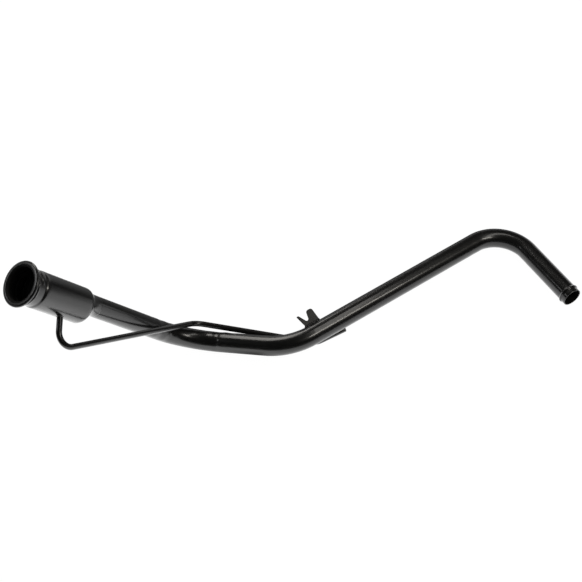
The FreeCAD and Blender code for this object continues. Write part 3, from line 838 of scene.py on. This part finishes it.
@dataclass
class FillerPipe:
    """Bent filler pipe with its hose bead and the soft waves that bending leaves."""

    layout: Layout
    finishes: Finishes
    radius: float = 14.3 * MM
    wall: float = 1.2 * MM
    start: float = 127.8 * MM
    bends: Triple = (76.3 * MM, 76.3 * MM, 54.0 * MM)
    bead_rise: float = 1.6 * MM
    bead_half: float = 2.9 * MM
    bead_back: float = 9.0 * MM
    wave_heights: Triple = (0.5 * MM, 0.16 * MM, 0.1 * MM)
    wave_length: float = 21.0 * MM
    wave_reach: float = 20.0 * MM
    wave_side: float = 0.8
    around: int = 80
    step: float = 1.8 * MM

    def __post_init__(self) -> None:
        """Lay out the route."""
        places = self.layout
        start = places.top + places.leg * self.start
        self.route = Route([start, places.first, places.corner, places.upper, places.tank], self.bends)

    def _swell(self, along: float, out: Vector, inward: Vector) -> float:
        """Read the hose bead and the bending waves.

        Args:
            along: Distance along the pipe.
            out: Direction of the skin.
            inward: Direction to the middle of the bend.

        Returns:
            Height of the skin over the plain pipe.
        """
        bead = abs(along - (self.route.length - self.bead_back))
        if bead < self.bead_half:
            return self.bead_rise * (0.5 + 0.5 * math.cos(math.pi * bead / self.bead_half))
        facing = max(out.dot(inward), 0.0) ** self.wave_side
        waves = 0.0
        for number, ends in enumerate(self.route.bends):
            for edge in ends:
                near = math.exp(-((along - edge) / self.wave_reach) ** 2)
                turn = 2 * math.pi * (along - edge) / self.wave_length + number
                waves += self.wave_heights[number] * near * math.sin(turn)
        return waves * facing

    def build(self) -> None:
        """Build and dress the pipe."""
        fine = self.route.length - self.bead_back - 2 * self.bead_half
        tube = Tube("filler_pipe", self.route, self.radius, self.wall, self.around, self.step,
                    fine_from=fine, swell=self._swell)
        settle(tube.build((self.finishes.coated, self.finishes.bore)), "main_pipe")


@dataclass
class VentTube:
    """Thin vent tube from the cup, over the pipe, to its hose end; the braze sizes are millimetres."""

    layout: Layout
    finishes: Finishes
    radius: float = 4.0 * MM
    wall: float = 1.0 * MM
    around: int = 40
    step: float = 1.2 * MM
    depth: float = 71.0
    clock: float = 6.0
    inside: float = 21.9
    drop: float = 66.7
    route_places: tuple[Triple, ...] = ((-132.6, 54.5, 35.4), (36.9, 24.8, 7.2), (80.1, 45.5, 7.2))
    bends: Triple = (17.0 * MM, 25.4 * MM, 25.4 * MM)
    cup_radius: float = 24.1
    braze: float = 1.6
    braze_spread: float = 0.5
    braze_ease: float = 1.4
    braze_climb: float = 0.4
    braze_sink: Pair = (0.15, 0.1)
    braze_lump: float = 0.18
    lump_scale: float = 2.3
    braze_rings: int = 9
    braze_around: int = 56

    def build(self) -> None:
        """Build and dress the tube and its braze."""
        turn = math.radians(self.clock)
        out = Vector((math.sin(turn), -math.cos(turn), 0.0))
        seat = Vector((0.0, 0.0, -self.depth))
        corners = [self.layout.cup @ (seat + out * reach) for reach in (self.inside, self.drop)]
        route = Route(corners + [self.layout.at(place) for place in self.route_places], self.bends)
        tube = Tube("vent_line", route, self.radius, self.wall, self.around, self.step)
        settle(tube.build((self.finishes.coated, self.finishes.bore)), "vent_tube")
        self._braze_ring(out, seat)

    def _braze_ring(self, out: Vector, seat: Vector) -> None:
        """Make the fillet of braze that follows the cup's round wall.

        Args:
            out: Direction of the tube in the cup's frame.
            seat: Middle of the cup at the tube's depth.
        """
        side = UP.cross(out)
        skin_sink, wall_sink = self.braze_sink
        rings = []
        for step in range(self.braze_rings):
            share = step / (self.braze_rings - 1)
            bent = share * math.pi / 2
            spread = (self.braze + self.braze_spread) * (1 - math.sin(bent)) ** self.braze_ease
            reach = self.radius / MM - skin_sink + spread
            ring = []
            for cosine, sine in circle(self.braze_around):
                across, height = cosine * reach, sine * reach
                wall = math.sqrt(self.cup_radius ** 2 - across ** 2)
                lump = self.braze_lump * noise.noise(Vector((cosine, sine, share)) * self.lump_scale)
                lift = (self.braze + self.braze_climb) * (1 - math.cos(bent)) + lump * math.sin(math.pi * share)
                spot = seat + side * across + UP * height + out * (wall - wall_sink + lift)
                ring.append(self.layout.cup @ spot)
            rings.append(ring)
        points, faces = chain(rings, False)
        made = mesh_object("vent_braze", (points, [face[::-1] for face in faces]), (self.finishes.bead,))
        settle(made, "vent_weld")


@dataclass
class FillerCup:
    """Drawn cup: rolled lip, rolled thread, body, eccentric shoulder and collar, in millimetres."""

    layout: Layout
    finishes: Finishes
    wall: float = 1.2
    mouth: float = 21.5
    flare: float = 3.8
    curl: float = 2.3
    lip: float = 29.5
    lip_dark_rings: int = 9
    neck_gap: float = 0.15
    neck_length: float = 21.7
    step_length: float = 4.5
    cup: float = 24.1
    length: float = 102.9
    shoulder: float = 23.3
    collar: float = 13.05
    collar_length: float = 13.6
    offset: float = 5.3
    pipe: float = 14.3
    thread_foot: float = -17.585
    thread_pitch: float = 7.1
    thread_turns: float = 1.35
    thread_half: float = 2.6
    thread_rise: float = 1.4
    thread_fade: float = 28.0
    around: int = 160
    neck_steps: int = 46
    step_steps: int = 6
    body_steps: int = 20
    shoulder_steps: int = 24
    collar_steps: int = 6
    narrowing: tuple[Pair, ...] = (
        (0.0, 0.0), (0.15, 0.08), (0.35, 0.41), (0.57, 0.72), (0.78, 0.9), (1.0, 1.0))
    shifting: tuple[Pair, ...] = (
        (0.0, 0.0), (0.15, 0.07), (0.35, 0.40), (0.57, 0.72), (0.78, 0.9), (1.0, 1.0))
    fillet_start: float = 0.58
    fillet_end: float = -131.5
    fillet_over: Pair = (0.04, 0.02)
    fillet_ease: float = 2.4
    fillet_lump: float = 0.06
    fillet_tuck: Pair = (0.5, 0.25)
    fillet_rings: int = 17
    fillet_around: int = 120

    def _thread(self, degrees: float, height: float) -> float:
        """Read the rolled thread, which is nothing outside its band on the neck.

        Args:
            degrees: Angle round the neck.
            height: Height in the cup's frame.

        Returns:
            The rise in millimetres.
        """
        rise = 0.0
        while degrees <= 360 * self.thread_turns:
            away = abs(height - (self.thread_foot + self.thread_pitch * degrees / 360))
            if away < self.thread_half:
                ends = min(degrees, 360 * self.thread_turns - degrees) / self.thread_fade
                fade = math.sin(min(ends, 1.0) * math.pi / 2) ** 2
                rise = max(rise, self.thread_rise * fade * math.cos(math.pi * away / (2 * self.thread_half)) ** 2)
            degrees += 360
        return rise

    def _wall(self, inset: float) -> list[Triple]:
        """Lay out the rings from below the lip down to the collar.

        Args:
            inset: Wall to take off, 0 for the outside.

        Returns:
            Radius, height and sideways shift of each ring.
        """
        neck, body, collar = self.mouth + self.wall - inset, self.cup - inset, self.collar - inset
        top, foot, end = -self.flare - self.neck_gap, -self.neck_length, -self.length - self.shoulder
        sizes = [(neck, top + (foot - top) * step / self.neck_steps, 0.0) for step in range(self.neck_steps + 1)]
        for step in range(1, self.step_steps + 1):
            share = step / self.step_steps
            sizes.append((neck + (body - neck) * (0.5 - 0.5 * math.cos(math.pi * share)),
                          foot - self.step_length * share, 0.0))
        low = foot - self.step_length
        sizes += [(body, low + (-self.length - low) * step / self.body_steps, 0.0)
                  for step in range(1, self.body_steps + 1)]
        for step in range(1, self.shoulder_steps + 1):
            share = step / self.shoulder_steps
            sizes.append((body + (collar - body) * eased(self.narrowing, share),
                          -self.length - self.shoulder * share, eased(self.shifting, share) * self.offset))
        sizes += [(collar, end - self.collar_length * step / self.collar_steps, self.offset)
                  for step in range(1, self.collar_steps + 1)]
        return sizes

    def build(self) -> None:
        """Build and dress the cup and its braze."""
        flare_at, curl_at = (self.mouth + self.flare, -self.flare), (self.lip - self.curl, -self.curl)
        lip = (bow(flare_at, self.flare, 180, 90, 10) + bow(curl_at, self.curl, 90, -80, 18)
               + bow(curl_at, self.curl - self.wall, -80, 90, 12) + bow(flare_at, self.flare - self.wall, 90, 175, 6))
        inside = self._wall(self.wall)
        sizes = inside[::-1] + [(radius, height, 0.0) for radius, height in lip] + self._wall(0.0)
        rings = []
        for radius, height, shift in sizes:
            ring = []
            for step, (cosine, sine) in enumerate(circle(self.around)):
                reach = radius + self._thread(360 * step / self.around, height)
                ring.append(self.layout.cup @ Vector((reach * cosine, shift + reach * sine, height)))
            rings.append(ring)
        skin = chain(rings, True)
        bore = (len(inside) + self.lip_dark_rings) * self.around
        chosen = [int(index < bore) for index in range(len(skin[1]))]
        settle(mesh_object("drawn_cup", skin, (self.finishes.cup, self.finishes.bore), chosen), "filler_cup")
        self._braze_ring()

    def _braze_ring(self) -> None:
        """Make the smooth fillet of braze that runs from the shoulder out onto the end of the pipe."""
        narrow, shift = (eased(table, self.fillet_start) for table in (self.narrowing, self.shifting))
        wide = self.cup + (self.collar - self.cup) * narrow + self.fillet_over[0]
        top, end = -self.length - self.shoulder * self.fillet_start, self.pipe + self.fillet_over[1]
        rings = []
        for step in range(self.fillet_rings):
            share = step / (self.fillet_rings - 1)
            fall = (1 - share) ** self.fillet_ease
            side = self.offset * (1 + (shift - 1) * fall)
            height = top + (self.fillet_end - top) * share
            ring = []
            for cosine, sine in circle(self.fillet_around):
                lump = self.fillet_lump * noise.noise(Vector((cosine * 3, sine * 3, share * 4)))
                radius = end + (wide - end) * fall + lump * math.sin(math.pi * share)
                ring.append(self.layout.cup @ Vector((radius * cosine, side + radius * sine, height)))
            rings.append(ring)
        low, height = end - self.fillet_tuck[0], self.fillet_end - self.fillet_tuck[1]
        rings.append([self.layout.cup @ Vector((low * cosine, self.offset + low * sine, height))
                      for cosine, sine in circle(self.fillet_around)])
        settle(mesh_object("collar_braze", chain(rings, False), (self.finishes.cup,)), "cup_weld")


@dataclass
class NozzleGuide:
    """Pressed guide inside the cup, with its flap, pin and closing spring, in millimetres."""

    layout: Layout
    finishes: Finishes
    rim: float = 22.85
    rim_top: float = -27.0
    cone_top: float = -33.0
    tube_top: float = -41.0
    seat: float = -53.0
    bore: float = 11.3
    sheet: float = 1.0
    cone_shift: float = 0.5
    guide_round: float = 0.9
    guide_around: int = 120
    flap_radius: float = 13.5
    flap_gap: float = 0.3
    flap_sheet: float = 1.0
    flap_edge: float = 0.3
    flap_around: int = 96
    dish: tuple[Pair, ...] = ((0.05, 0.55), (6.4, 0.55), (7.3, 0.1), (8.2, 0.0))
    dish_under: tuple[Pair, ...] = ((8.4, 0.0), (7.5, 0.1), (6.6, 0.5), (0.05, 0.5))
    pin_y: float = 16.4
    pin_z: float = -53.8
    pin_radius: float = 1.0
    pin_half: float = 9.9
    pin_round: float = 0.25
    pin_around: int = 40
    ear_in: float = 7.5
    ear_sheet: float = 1.2
    ear_tip: float = 18.2
    ear_root: float = 6.0
    ear_over: float = 2.4
    ear_sink: Pair = (0.5, 0.6)
    ear_round: float = 0.8
    knuckle: float = 1.88
    knuckle_in: float = 1.08
    knuckle_around: int = 36
    arm_start: float = 8.6
    arm_short: float = 1.3
    arm_width: float = 3.0
    arm_out: float = 7.0
    arm_round: float = 0.2
    wire: float = 0.35
    wire_around: int = 12
    coil: float = 1.75
    coil_half: float = 1.8
    coil_turns: float = 4.0
    coil_steps: int = 96
    leg: float = 8.0
    leg_steps: int = 8
    short_leg: float = 1.4

    def build(self) -> None:
        """Build and dress the guide, the flap, the pin and the spring."""
        self._guide()
        self._flap()
        self._pin()
        self._spring()

    def _guide(self) -> None:
        """Make the guide sheet with its two ears."""
        tube, rim_in = self.bore + self.sheet, self.rim - self.sheet
        outline = softened([
            (self.rim, self.rim_top), (rim_in, self.rim_top), (rim_in, self.cone_top + self.cone_shift),
            (self.bore, self.tube_top + self.cone_shift), (self.bore, self.seat), (tube, self.seat),
            (tube, self.tube_top), (self.rim, self.cone_top),
        ], self.guide_round)
        skins = [turned(self.layout.cup, outline, self.guide_around)]
        root = math.sqrt((tube - self.ear_sink[0]) ** 2 - (self.ear_in + self.ear_sink[1]) ** 2)
        low = self.pin_z - self.knuckle
        plate = softened([
            (root, self.seat + self.ear_root), (root, self.seat), (self.flap_radius, self.seat),
            (self.flap_radius, low), (self.ear_tip, low), (self.ear_tip, self.pin_z + self.ear_over),
        ], self.ear_round)
        for start in (-self.ear_in - self.ear_sheet, self.ear_in):
            skins.append(prism(self.layout.cup, plate, start, start + self.ear_sheet))
        made = mesh_object("guide_pressing", merged(skins), (self.finishes.guide,))
        modify(made, "BEVEL", width=0.15 * MM, segments=2, limit_method="ANGLE", angle_limit=BEVEL_ANGLE)
        modify(made, "WEIGHTED_NORMAL")
        settle(made, "nozzle_guide", Slot.GUIDE)

    def _flap(self) -> None:
        """Make the flap disc with a pressed ring, its arms and its knuckles."""
        top = self.seat - self.flap_gap
        low, rim = top - self.flap_sheet, self.flap_radius - self.flap_edge
        outline = [(radius, top - depth) for radius, depth in self.dish]
        outline += [(rim, top), (self.flap_radius, top - self.flap_edge), (self.flap_radius, low + self.flap_edge)]
        outline += [(rim, low)] + [(radius, low - depth) for radius, depth in self.dish_under]
        skins = [turned(self.layout.cup, outline, self.flap_around)]
        tip = self.pin_y - self.arm_short
        arm = softened([(self.arm_start, low), (tip, low), (tip, top), (self.arm_start, top)], self.arm_round)
        hub = softened([(self.knuckle, 0.0), (self.knuckle, self.arm_width), (self.knuckle_in, self.arm_width),
                        (self.knuckle_in, 0.0)], self.arm_round)
        for start in (-self.arm_out, self.arm_out - self.arm_width):
            skins.append(prism(self.layout.cup, arm, start, start + self.arm_width))
            skins.append(turned(self._sideways(start), hub, self.knuckle_around))
        made = mesh_object("guide_flap", merged(skins), (self.finishes.flap,))
        modify(made, "WEIGHTED_NORMAL")
        settle(made, "flap", Slot.FLAP, Body.FLAP)

    def _sideways(self, start: float) -> Matrix:
        """Give the frame on the pin's line whose Z axis runs along the pin."""
        turn = Matrix.Rotation(math.pi / 2, 4, "Y")
        return self.layout.cup @ Matrix.Translation((start, self.pin_y, self.pin_z)) @ turn

    def _pin(self) -> None:
        """Make the plain pin with broken edges."""
        middle, end = 0.02, 2 * self.pin_half
        outline = softened([(middle, 0.0), (self.pin_radius, 0.0), (self.pin_radius, end), (middle, end)],
                           self.pin_round)
        skin = turned(self._sideways(-self.pin_half), outline, self.pin_around)
        settle(mesh_object("hinge_pin", skin, (self.finishes.spring,)), "flap_pin", Slot.SPRING)

    def _spring(self) -> None:
        """Make the closing spring: a coil round the pin with a long and a short leg."""
        line = [Vector((-self.coil, self.leg - step, -self.coil_half)) for step in range(self.leg_steps + 1)]
        for step in range(1, self.coil_steps + 1):
            angle = math.pi + 2 * math.pi * self.coil_turns * step / self.coil_steps
            level = -self.coil_half + 2 * self.coil_half * step / self.coil_steps
            line.append(Vector((self.coil * math.cos(angle), self.coil * math.sin(angle), level)))
        line.append(Vector((-self.coil, -self.short_leg, self.coil_half)))
        middle = self._sideways(0.0)
        rings = []
        for index, spot in enumerate(line):
            ahead = (line[min(index + 1, len(line) - 1)] - line[max(index - 1, 0)]).normalized()
            across = ahead.cross(UP).normalized()
            side = across.cross(ahead)
            rings.append([middle @ (spot + (across * cosine + side * sine) * self.wire)
                          for cosine, sine in circle(self.wire_around)])
        made = mesh_object("closing_spring", capped(rings), (self.finishes.spring,))
        settle(made, "flap_spring", Slot.SPRING)


@dataclass
class SupportBracket:
    """Forked sheet bracket with its curved foot and the weld along its base, in millimetres."""

    layout: Layout
    finishes: Finishes
    sheet: float = 2.0
    half: float = 11.7
    pipe: float = 14.35
    foot: float = 70.0
    foot_steps: int = 16
    foot_trim: float = 2.0
    trim_from: int = 12
    fork: float = 34.4
    lean: float = 5.8
    narrow: float = 3.2
    narrow_drop: float = 1.4
    narrow_round: float = 1.6
    wide: float = 9.1
    wide_round: float = 3.6
    taper: float = 3.0
    slot_bottom: float = 21.2
    slot_radius: float = 3.2
    slot_side: float = -5.3
    slot_arc: Pair = (-110.0, -250.0)
    slot_steps: int = 14
    weld: float = 1.6
    weld_flat: float = 0.9
    weld_over: float = 0.15
    weld_sink: float = 0.1
    weld_ripple: float = 0.09
    weld_lump: float = 0.1
    weld_steps: int = 80
    weld_around: int = 20

    def build(self) -> None:
        """Build and dress the bracket and its weld."""
        self._plate()
        self._weld()

    def _outline(self) -> Pairs:
        """Draw the fork in the bracket's YZ plane, with round tips and a round slot.

        Returns:
            The closed outline.
        """
        middle = (self.slot_bottom + self.slot_radius, self.slot_side)
        slot = bow(middle, self.slot_radius, *self.slot_arc, self.slot_steps)
        low, outer = self.fork - self.narrow_drop, -self.half - self.lean
        side = self.half - self.taper
        foot, other_foot = (self.pipe, -self.half), (self.pipe, self.half)
        tip = slice(CORNER_POINTS, 3 * CORNER_POINTS)
        left = softened([foot, (low, outer), (low, outer + self.narrow), slot[0]], self.narrow_round)[tip]
        right = softened([slot[-1], (self.fork, side - self.wide), (self.fork, side), other_foot],
                         self.wide_round)[tip]
        return [foot] + left + slot + right + [other_foot]

    def _plate(self) -> None:
        """Make the forked plate and its foot, as one folded sheet."""
        place = self.layout.bracket
        inner, outer = self.pipe, self.pipe + self.sheet
        rings = []
        for step in range(self.foot_steps + 1):
            turn = math.radians(self.foot * step / self.foot_steps)
            tail = max(0.0, (step - self.trim_from) / (self.foot_steps - self.trim_from))
            edge = self.half - self.foot_trim * tail ** 2
            corners = ((inner, -edge), (outer, -edge), (outer, edge), (inner, edge))
            rings.append([place @ Vector((math.sin(turn) * radius, math.cos(turn) * radius, height))
                          for radius, height in corners])
        points, faces = chain(rings, False)
        caps = [(0, 1, 2, 3), tuple(range(len(points) - 4, len(points)))[::-1]]
        skin = merged([prism(place, self._outline(), 0.0, self.sheet), (points, faces + caps)])
        made = mesh_object("fork_bracket", skin, (self.finishes.plate,))
        modify(made, "BEVEL", width=0.3 * MM, segments=3, limit_method="ANGLE", angle_limit=BEVEL_ANGLE)
        modify(made, "WEIGHTED_NORMAL")
        settle(made, "support_bracket")

    def _weld(self) -> None:
        """Make the rippled weld along the base of the fork, on the side without the foot."""
        bottom = self.pipe - self.weld_sink
        rings = []
        for step in range(self.weld_steps + 1):
            share = step / self.weld_steps
            taper = math.sqrt(max(1 - abs(2 * share - 1) ** 6, 0.0004))
            lump = self.weld_lump * noise.noise(Vector((share * 14, 0.3, 0.0)))
            size = self.weld * taper * (1 + self.weld_ripple * math.sin(step * 1.9) + lump)
            height = (2 * share - 1) * (self.half - self.weld)
            ring = []
            for cosine, sine in circle(self.weld_around):
                spot = Vector((size * cosine * self.weld_flat, self.pipe + size * sine, height))
                spot.x = min(spot.x, self.weld_over)
                reach = math.hypot(spot.x, spot.y)
                if reach < bottom:
                    spot.x, spot.y = spot.x * bottom / reach, spot.y * bottom / reach
                ring.append(self.layout.bracket @ spot)
            rings.append(ring)
        settle(mesh_object("fork_weld", capped(rings), (self.finishes.bead,)), "bracket_weld")


# ---------------------------------------------------------------- the studio


@dataclass(frozen=True)
class SoftLamp:
    """Rectangular lamp that hangs level, or faces a place when it has an aim."""

    name: str
    place: Triple
    turn: float
    width: float
    depth: float
    glow: float
    tint: Triple = (1.0, 0.97, 0.92)
    aim: Triple | None = None

    def build(self) -> None:
        """Hang the lamp."""
        lamp = bpy.data.lights.new(self.name, "AREA")
        lamp.color = self.tint
        lamp.shape = "RECTANGLE"
        lamp.size, lamp.size_y = self.width, self.depth
        lamp.energy = self.glow * math.pi * self.width * self.depth
        made = bpy.data.objects.new(self.name, lamp)
        made.location = self.place
        made.rotation_euler = (0.0, 0.0, math.radians(self.turn))
        if self.aim:
            made.rotation_euler = (Vector(self.aim) - Vector(self.place)).to_track_quat("-Z", "Y").to_euler()
        made.visible_camera = False
        bpy.context.scene.collection.objects.link(made)


@dataclass
class Studio:
    """Pale floor, soft lamps and the camera at the photograph's viewing angle."""

    camera_place: Triple = (-0.0336, -0.94538, 1.29235)
    elevation: float = 52.0
    roll: float = 4.1
    focal_pixels: float = 1100.0
    sensor: float = 36.0
    clip: Pair = (0.05, 60.0)
    surround: float = 0.3
    dark_room: float = 0.02
    back_edge: Pair = (0.4, 0.8)
    floor_half: float = 9.0
    paper: float = 0.86
    floor_glow: float = 1.05
    floor_share: float = 0.94
    white_reach: Pair = (0.45, 1.3)
    sheet_slope: float = 0.63
    sheet_edge: Pair = (-0.055, 0.002)
    sheet_boost: float = 1.35
    boost_reach: Pair = (-0.2, 0.15)
    sheet_behind: float = 0.1
    left_slope: float = 0.8
    sheet_left: Pair = (-0.24, -0.12)
    far_edge: Pair = (0.5, 1.1)
    horizon: float = 0.6
    horizon_reach: float = 0.26
    lamps: tuple[SoftLamp, ...] = (
        SoftLamp("overhead_softbox", (0.67, 0.15, 1.3), 121.5, 1.1, 0.24, 2.5),
        SoftLamp("strip_light", (1.14, -0.47, 1.31), 32.0, 0.64, 0.3, 8.5, (1.0, 0.96, 0.88)),
        SoftLamp("back_softbox", (-0.5, 1.98, 1.3), 0.0, 0.68, 2.45, 3.2),
        SoftLamp("lip_card", (-0.72, 0.0, 0.51), 0.0, 0.13, 0.13, 3.2, (1.0, 1.0, 1.0), (-0.35, -0.09, 0.27)),
    )

    def build(self) -> None:
        """Set up the whole studio."""
        self._floor()
        self._surround()
        for lamp in self.lamps:
            lamp.build()
        self._camera()

    def _mirror_sheet(self, graph: Graph) -> Socket:
        """Light the floor as the part's gloss sees it: a white sheet in front, dark behind, a pale horizon.

        Args:
            graph: Graph of the floor's material.

        Returns:
            Strength of the mirrored floor.
        """
        place = graph.place()
        away = graph.node("VectorMath", {"operation": "LENGTH"})
        graph.feed(away.inputs[0], place)
        near = graph.span(away.outputs["Value"], *self.white_reach, 1.0, self.dark_room)
        spot = graph.node("SeparateXYZ", Vector=place).outputs
        behind = graph.math("SUBTRACT", spot["Y"], graph.times(spot["X"], self.sheet_slope))
        front = graph.span(behind, *self.sheet_edge, 1.0, self.sheet_behind)
        aside = graph.math("ADD", spot["X"], graph.times(spot["Y"], self.left_slope))
        left = graph.span(aside, *self.sheet_left, 1.0, 0.0)
        far = graph.span(behind, *self.far_edge, 0.0, self.horizon)
        boost = graph.span(spot["X"], *self.boost_reach, self.sheet_boost, 1.0)
        close = graph.times(graph.times(near, boost), graph.math("MAXIMUM", front, left))
        return graph.math("MAXIMUM", close, far)

    def _floor(self) -> None:
        """Lay the pale floor, which keeps a faint shadow and is white to the camera."""
        made, graph = new_material("pale_floor")
        path = graph.node("LightPath").outputs
        paper = graph.node("BsdfDiffuse", Color=(self.paper, self.paper, self.paper, 1.0))
        mirrored = graph.math("MAXIMUM", path["Is Glossy Ray"], path["Is Transmission Ray"])
        strength = graph.span(mirrored, 0.0, 1.0, self.floor_glow, self._mirror_sheet(graph))
        glow = graph.node("Emission", Color=WHITE, Strength=strength)
        shown = graph.times(path["Is Camera Ray"], self.floor_share)
        mixed = graph.node("MixShader")
        for number, value in enumerate((graph.math("MAXIMUM", shown, mirrored), paper.outputs[0], glow.outputs[0])):
            graph.feed(mixed.inputs[number], value)
        graph.node("OutputMaterial", Surface=mixed.outputs[0])
        corners = [Vector((x, y, 0.0)) * self.floor_half for x, y in ((-1, -1), (1, -1), (1, 1), (-1, 1))]
        mesh_object("floor", (corners, [(0, 1, 2, 3)]), (made,))

    def _surround(self) -> None:
        """Light the room: plain grey on the part, dark in its gloss, white where the camera sees it."""
        world = bpy.data.worlds.new("studio")
        world.use_nodes = True
        bpy.context.scene.world = world
        graph = Graph(world.node_tree)
        path = graph.node("LightPath").outputs
        way = graph.node("SeparateXYZ", Vector=graph.node("TexCoord").outputs["Generated"]).outputs
        low = graph.span(way["Z"], 0.0, self.horizon_reach, self.horizon, self.dark_room)
        behind = graph.span(way["Y"], *self.back_edge, self.dark_room, low)
        mirrored = graph.span(path["Is Glossy Ray"], 0.0, 1.0, self.surround, behind)
        strength = graph.span(path["Is Camera Ray"], 0.0, 1.0, mirrored, 1.0)
        room = graph.node("Background", Color=WHITE, Strength=strength)
        graph.node("OutputWorld", Surface=room.outputs[0])

    def _camera(self) -> None:
        """Set the camera as the photograph was taken."""
        data = bpy.data.cameras.new("camera")
        data.sensor_fit = "HORIZONTAL"
        data.sensor_width = self.sensor
        data.lens = self.focal_pixels / PHOTO_SIDE * data.sensor_width
        data.clip_start, data.clip_end = self.clip
        low, turn = math.radians(self.elevation), math.radians(self.roll)
        view = Vector((0.0, math.cos(low), -math.sin(low)))
        across = Vector((1.0, 0.0, 0.0))
        down = view.cross(across)
        right = across * math.cos(turn) + down * math.sin(turn)
        below = down * math.cos(turn) - across * math.sin(turn)
        facing = Matrix((right, -below, -view)).transposed().to_4x4()
        made = bpy.data.objects.new("camera", data)
        made.matrix_world = Matrix.Translation(self.camera_place) @ facing
        bpy.context.scene.collection.objects.link(made)
        bpy.context.scene.camera = made
        bpy.context.scene.view_settings.view_transform = "Standard"


def main() -> None:
    """Build each sub-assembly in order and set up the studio."""
    logging.basicConfig(level=logging.INFO, format="%(name)s %(message)s")
    layout, finishes = Layout(), Finishes()
    for assembly in (FillerPipe, FillerCup, VentTube, NozzleGuide, SupportBracket):
        assembly(layout, finishes).build()
    Studio().build()
    bpy.context.view_layer.update()


if __name__ == "__main__":
    main()
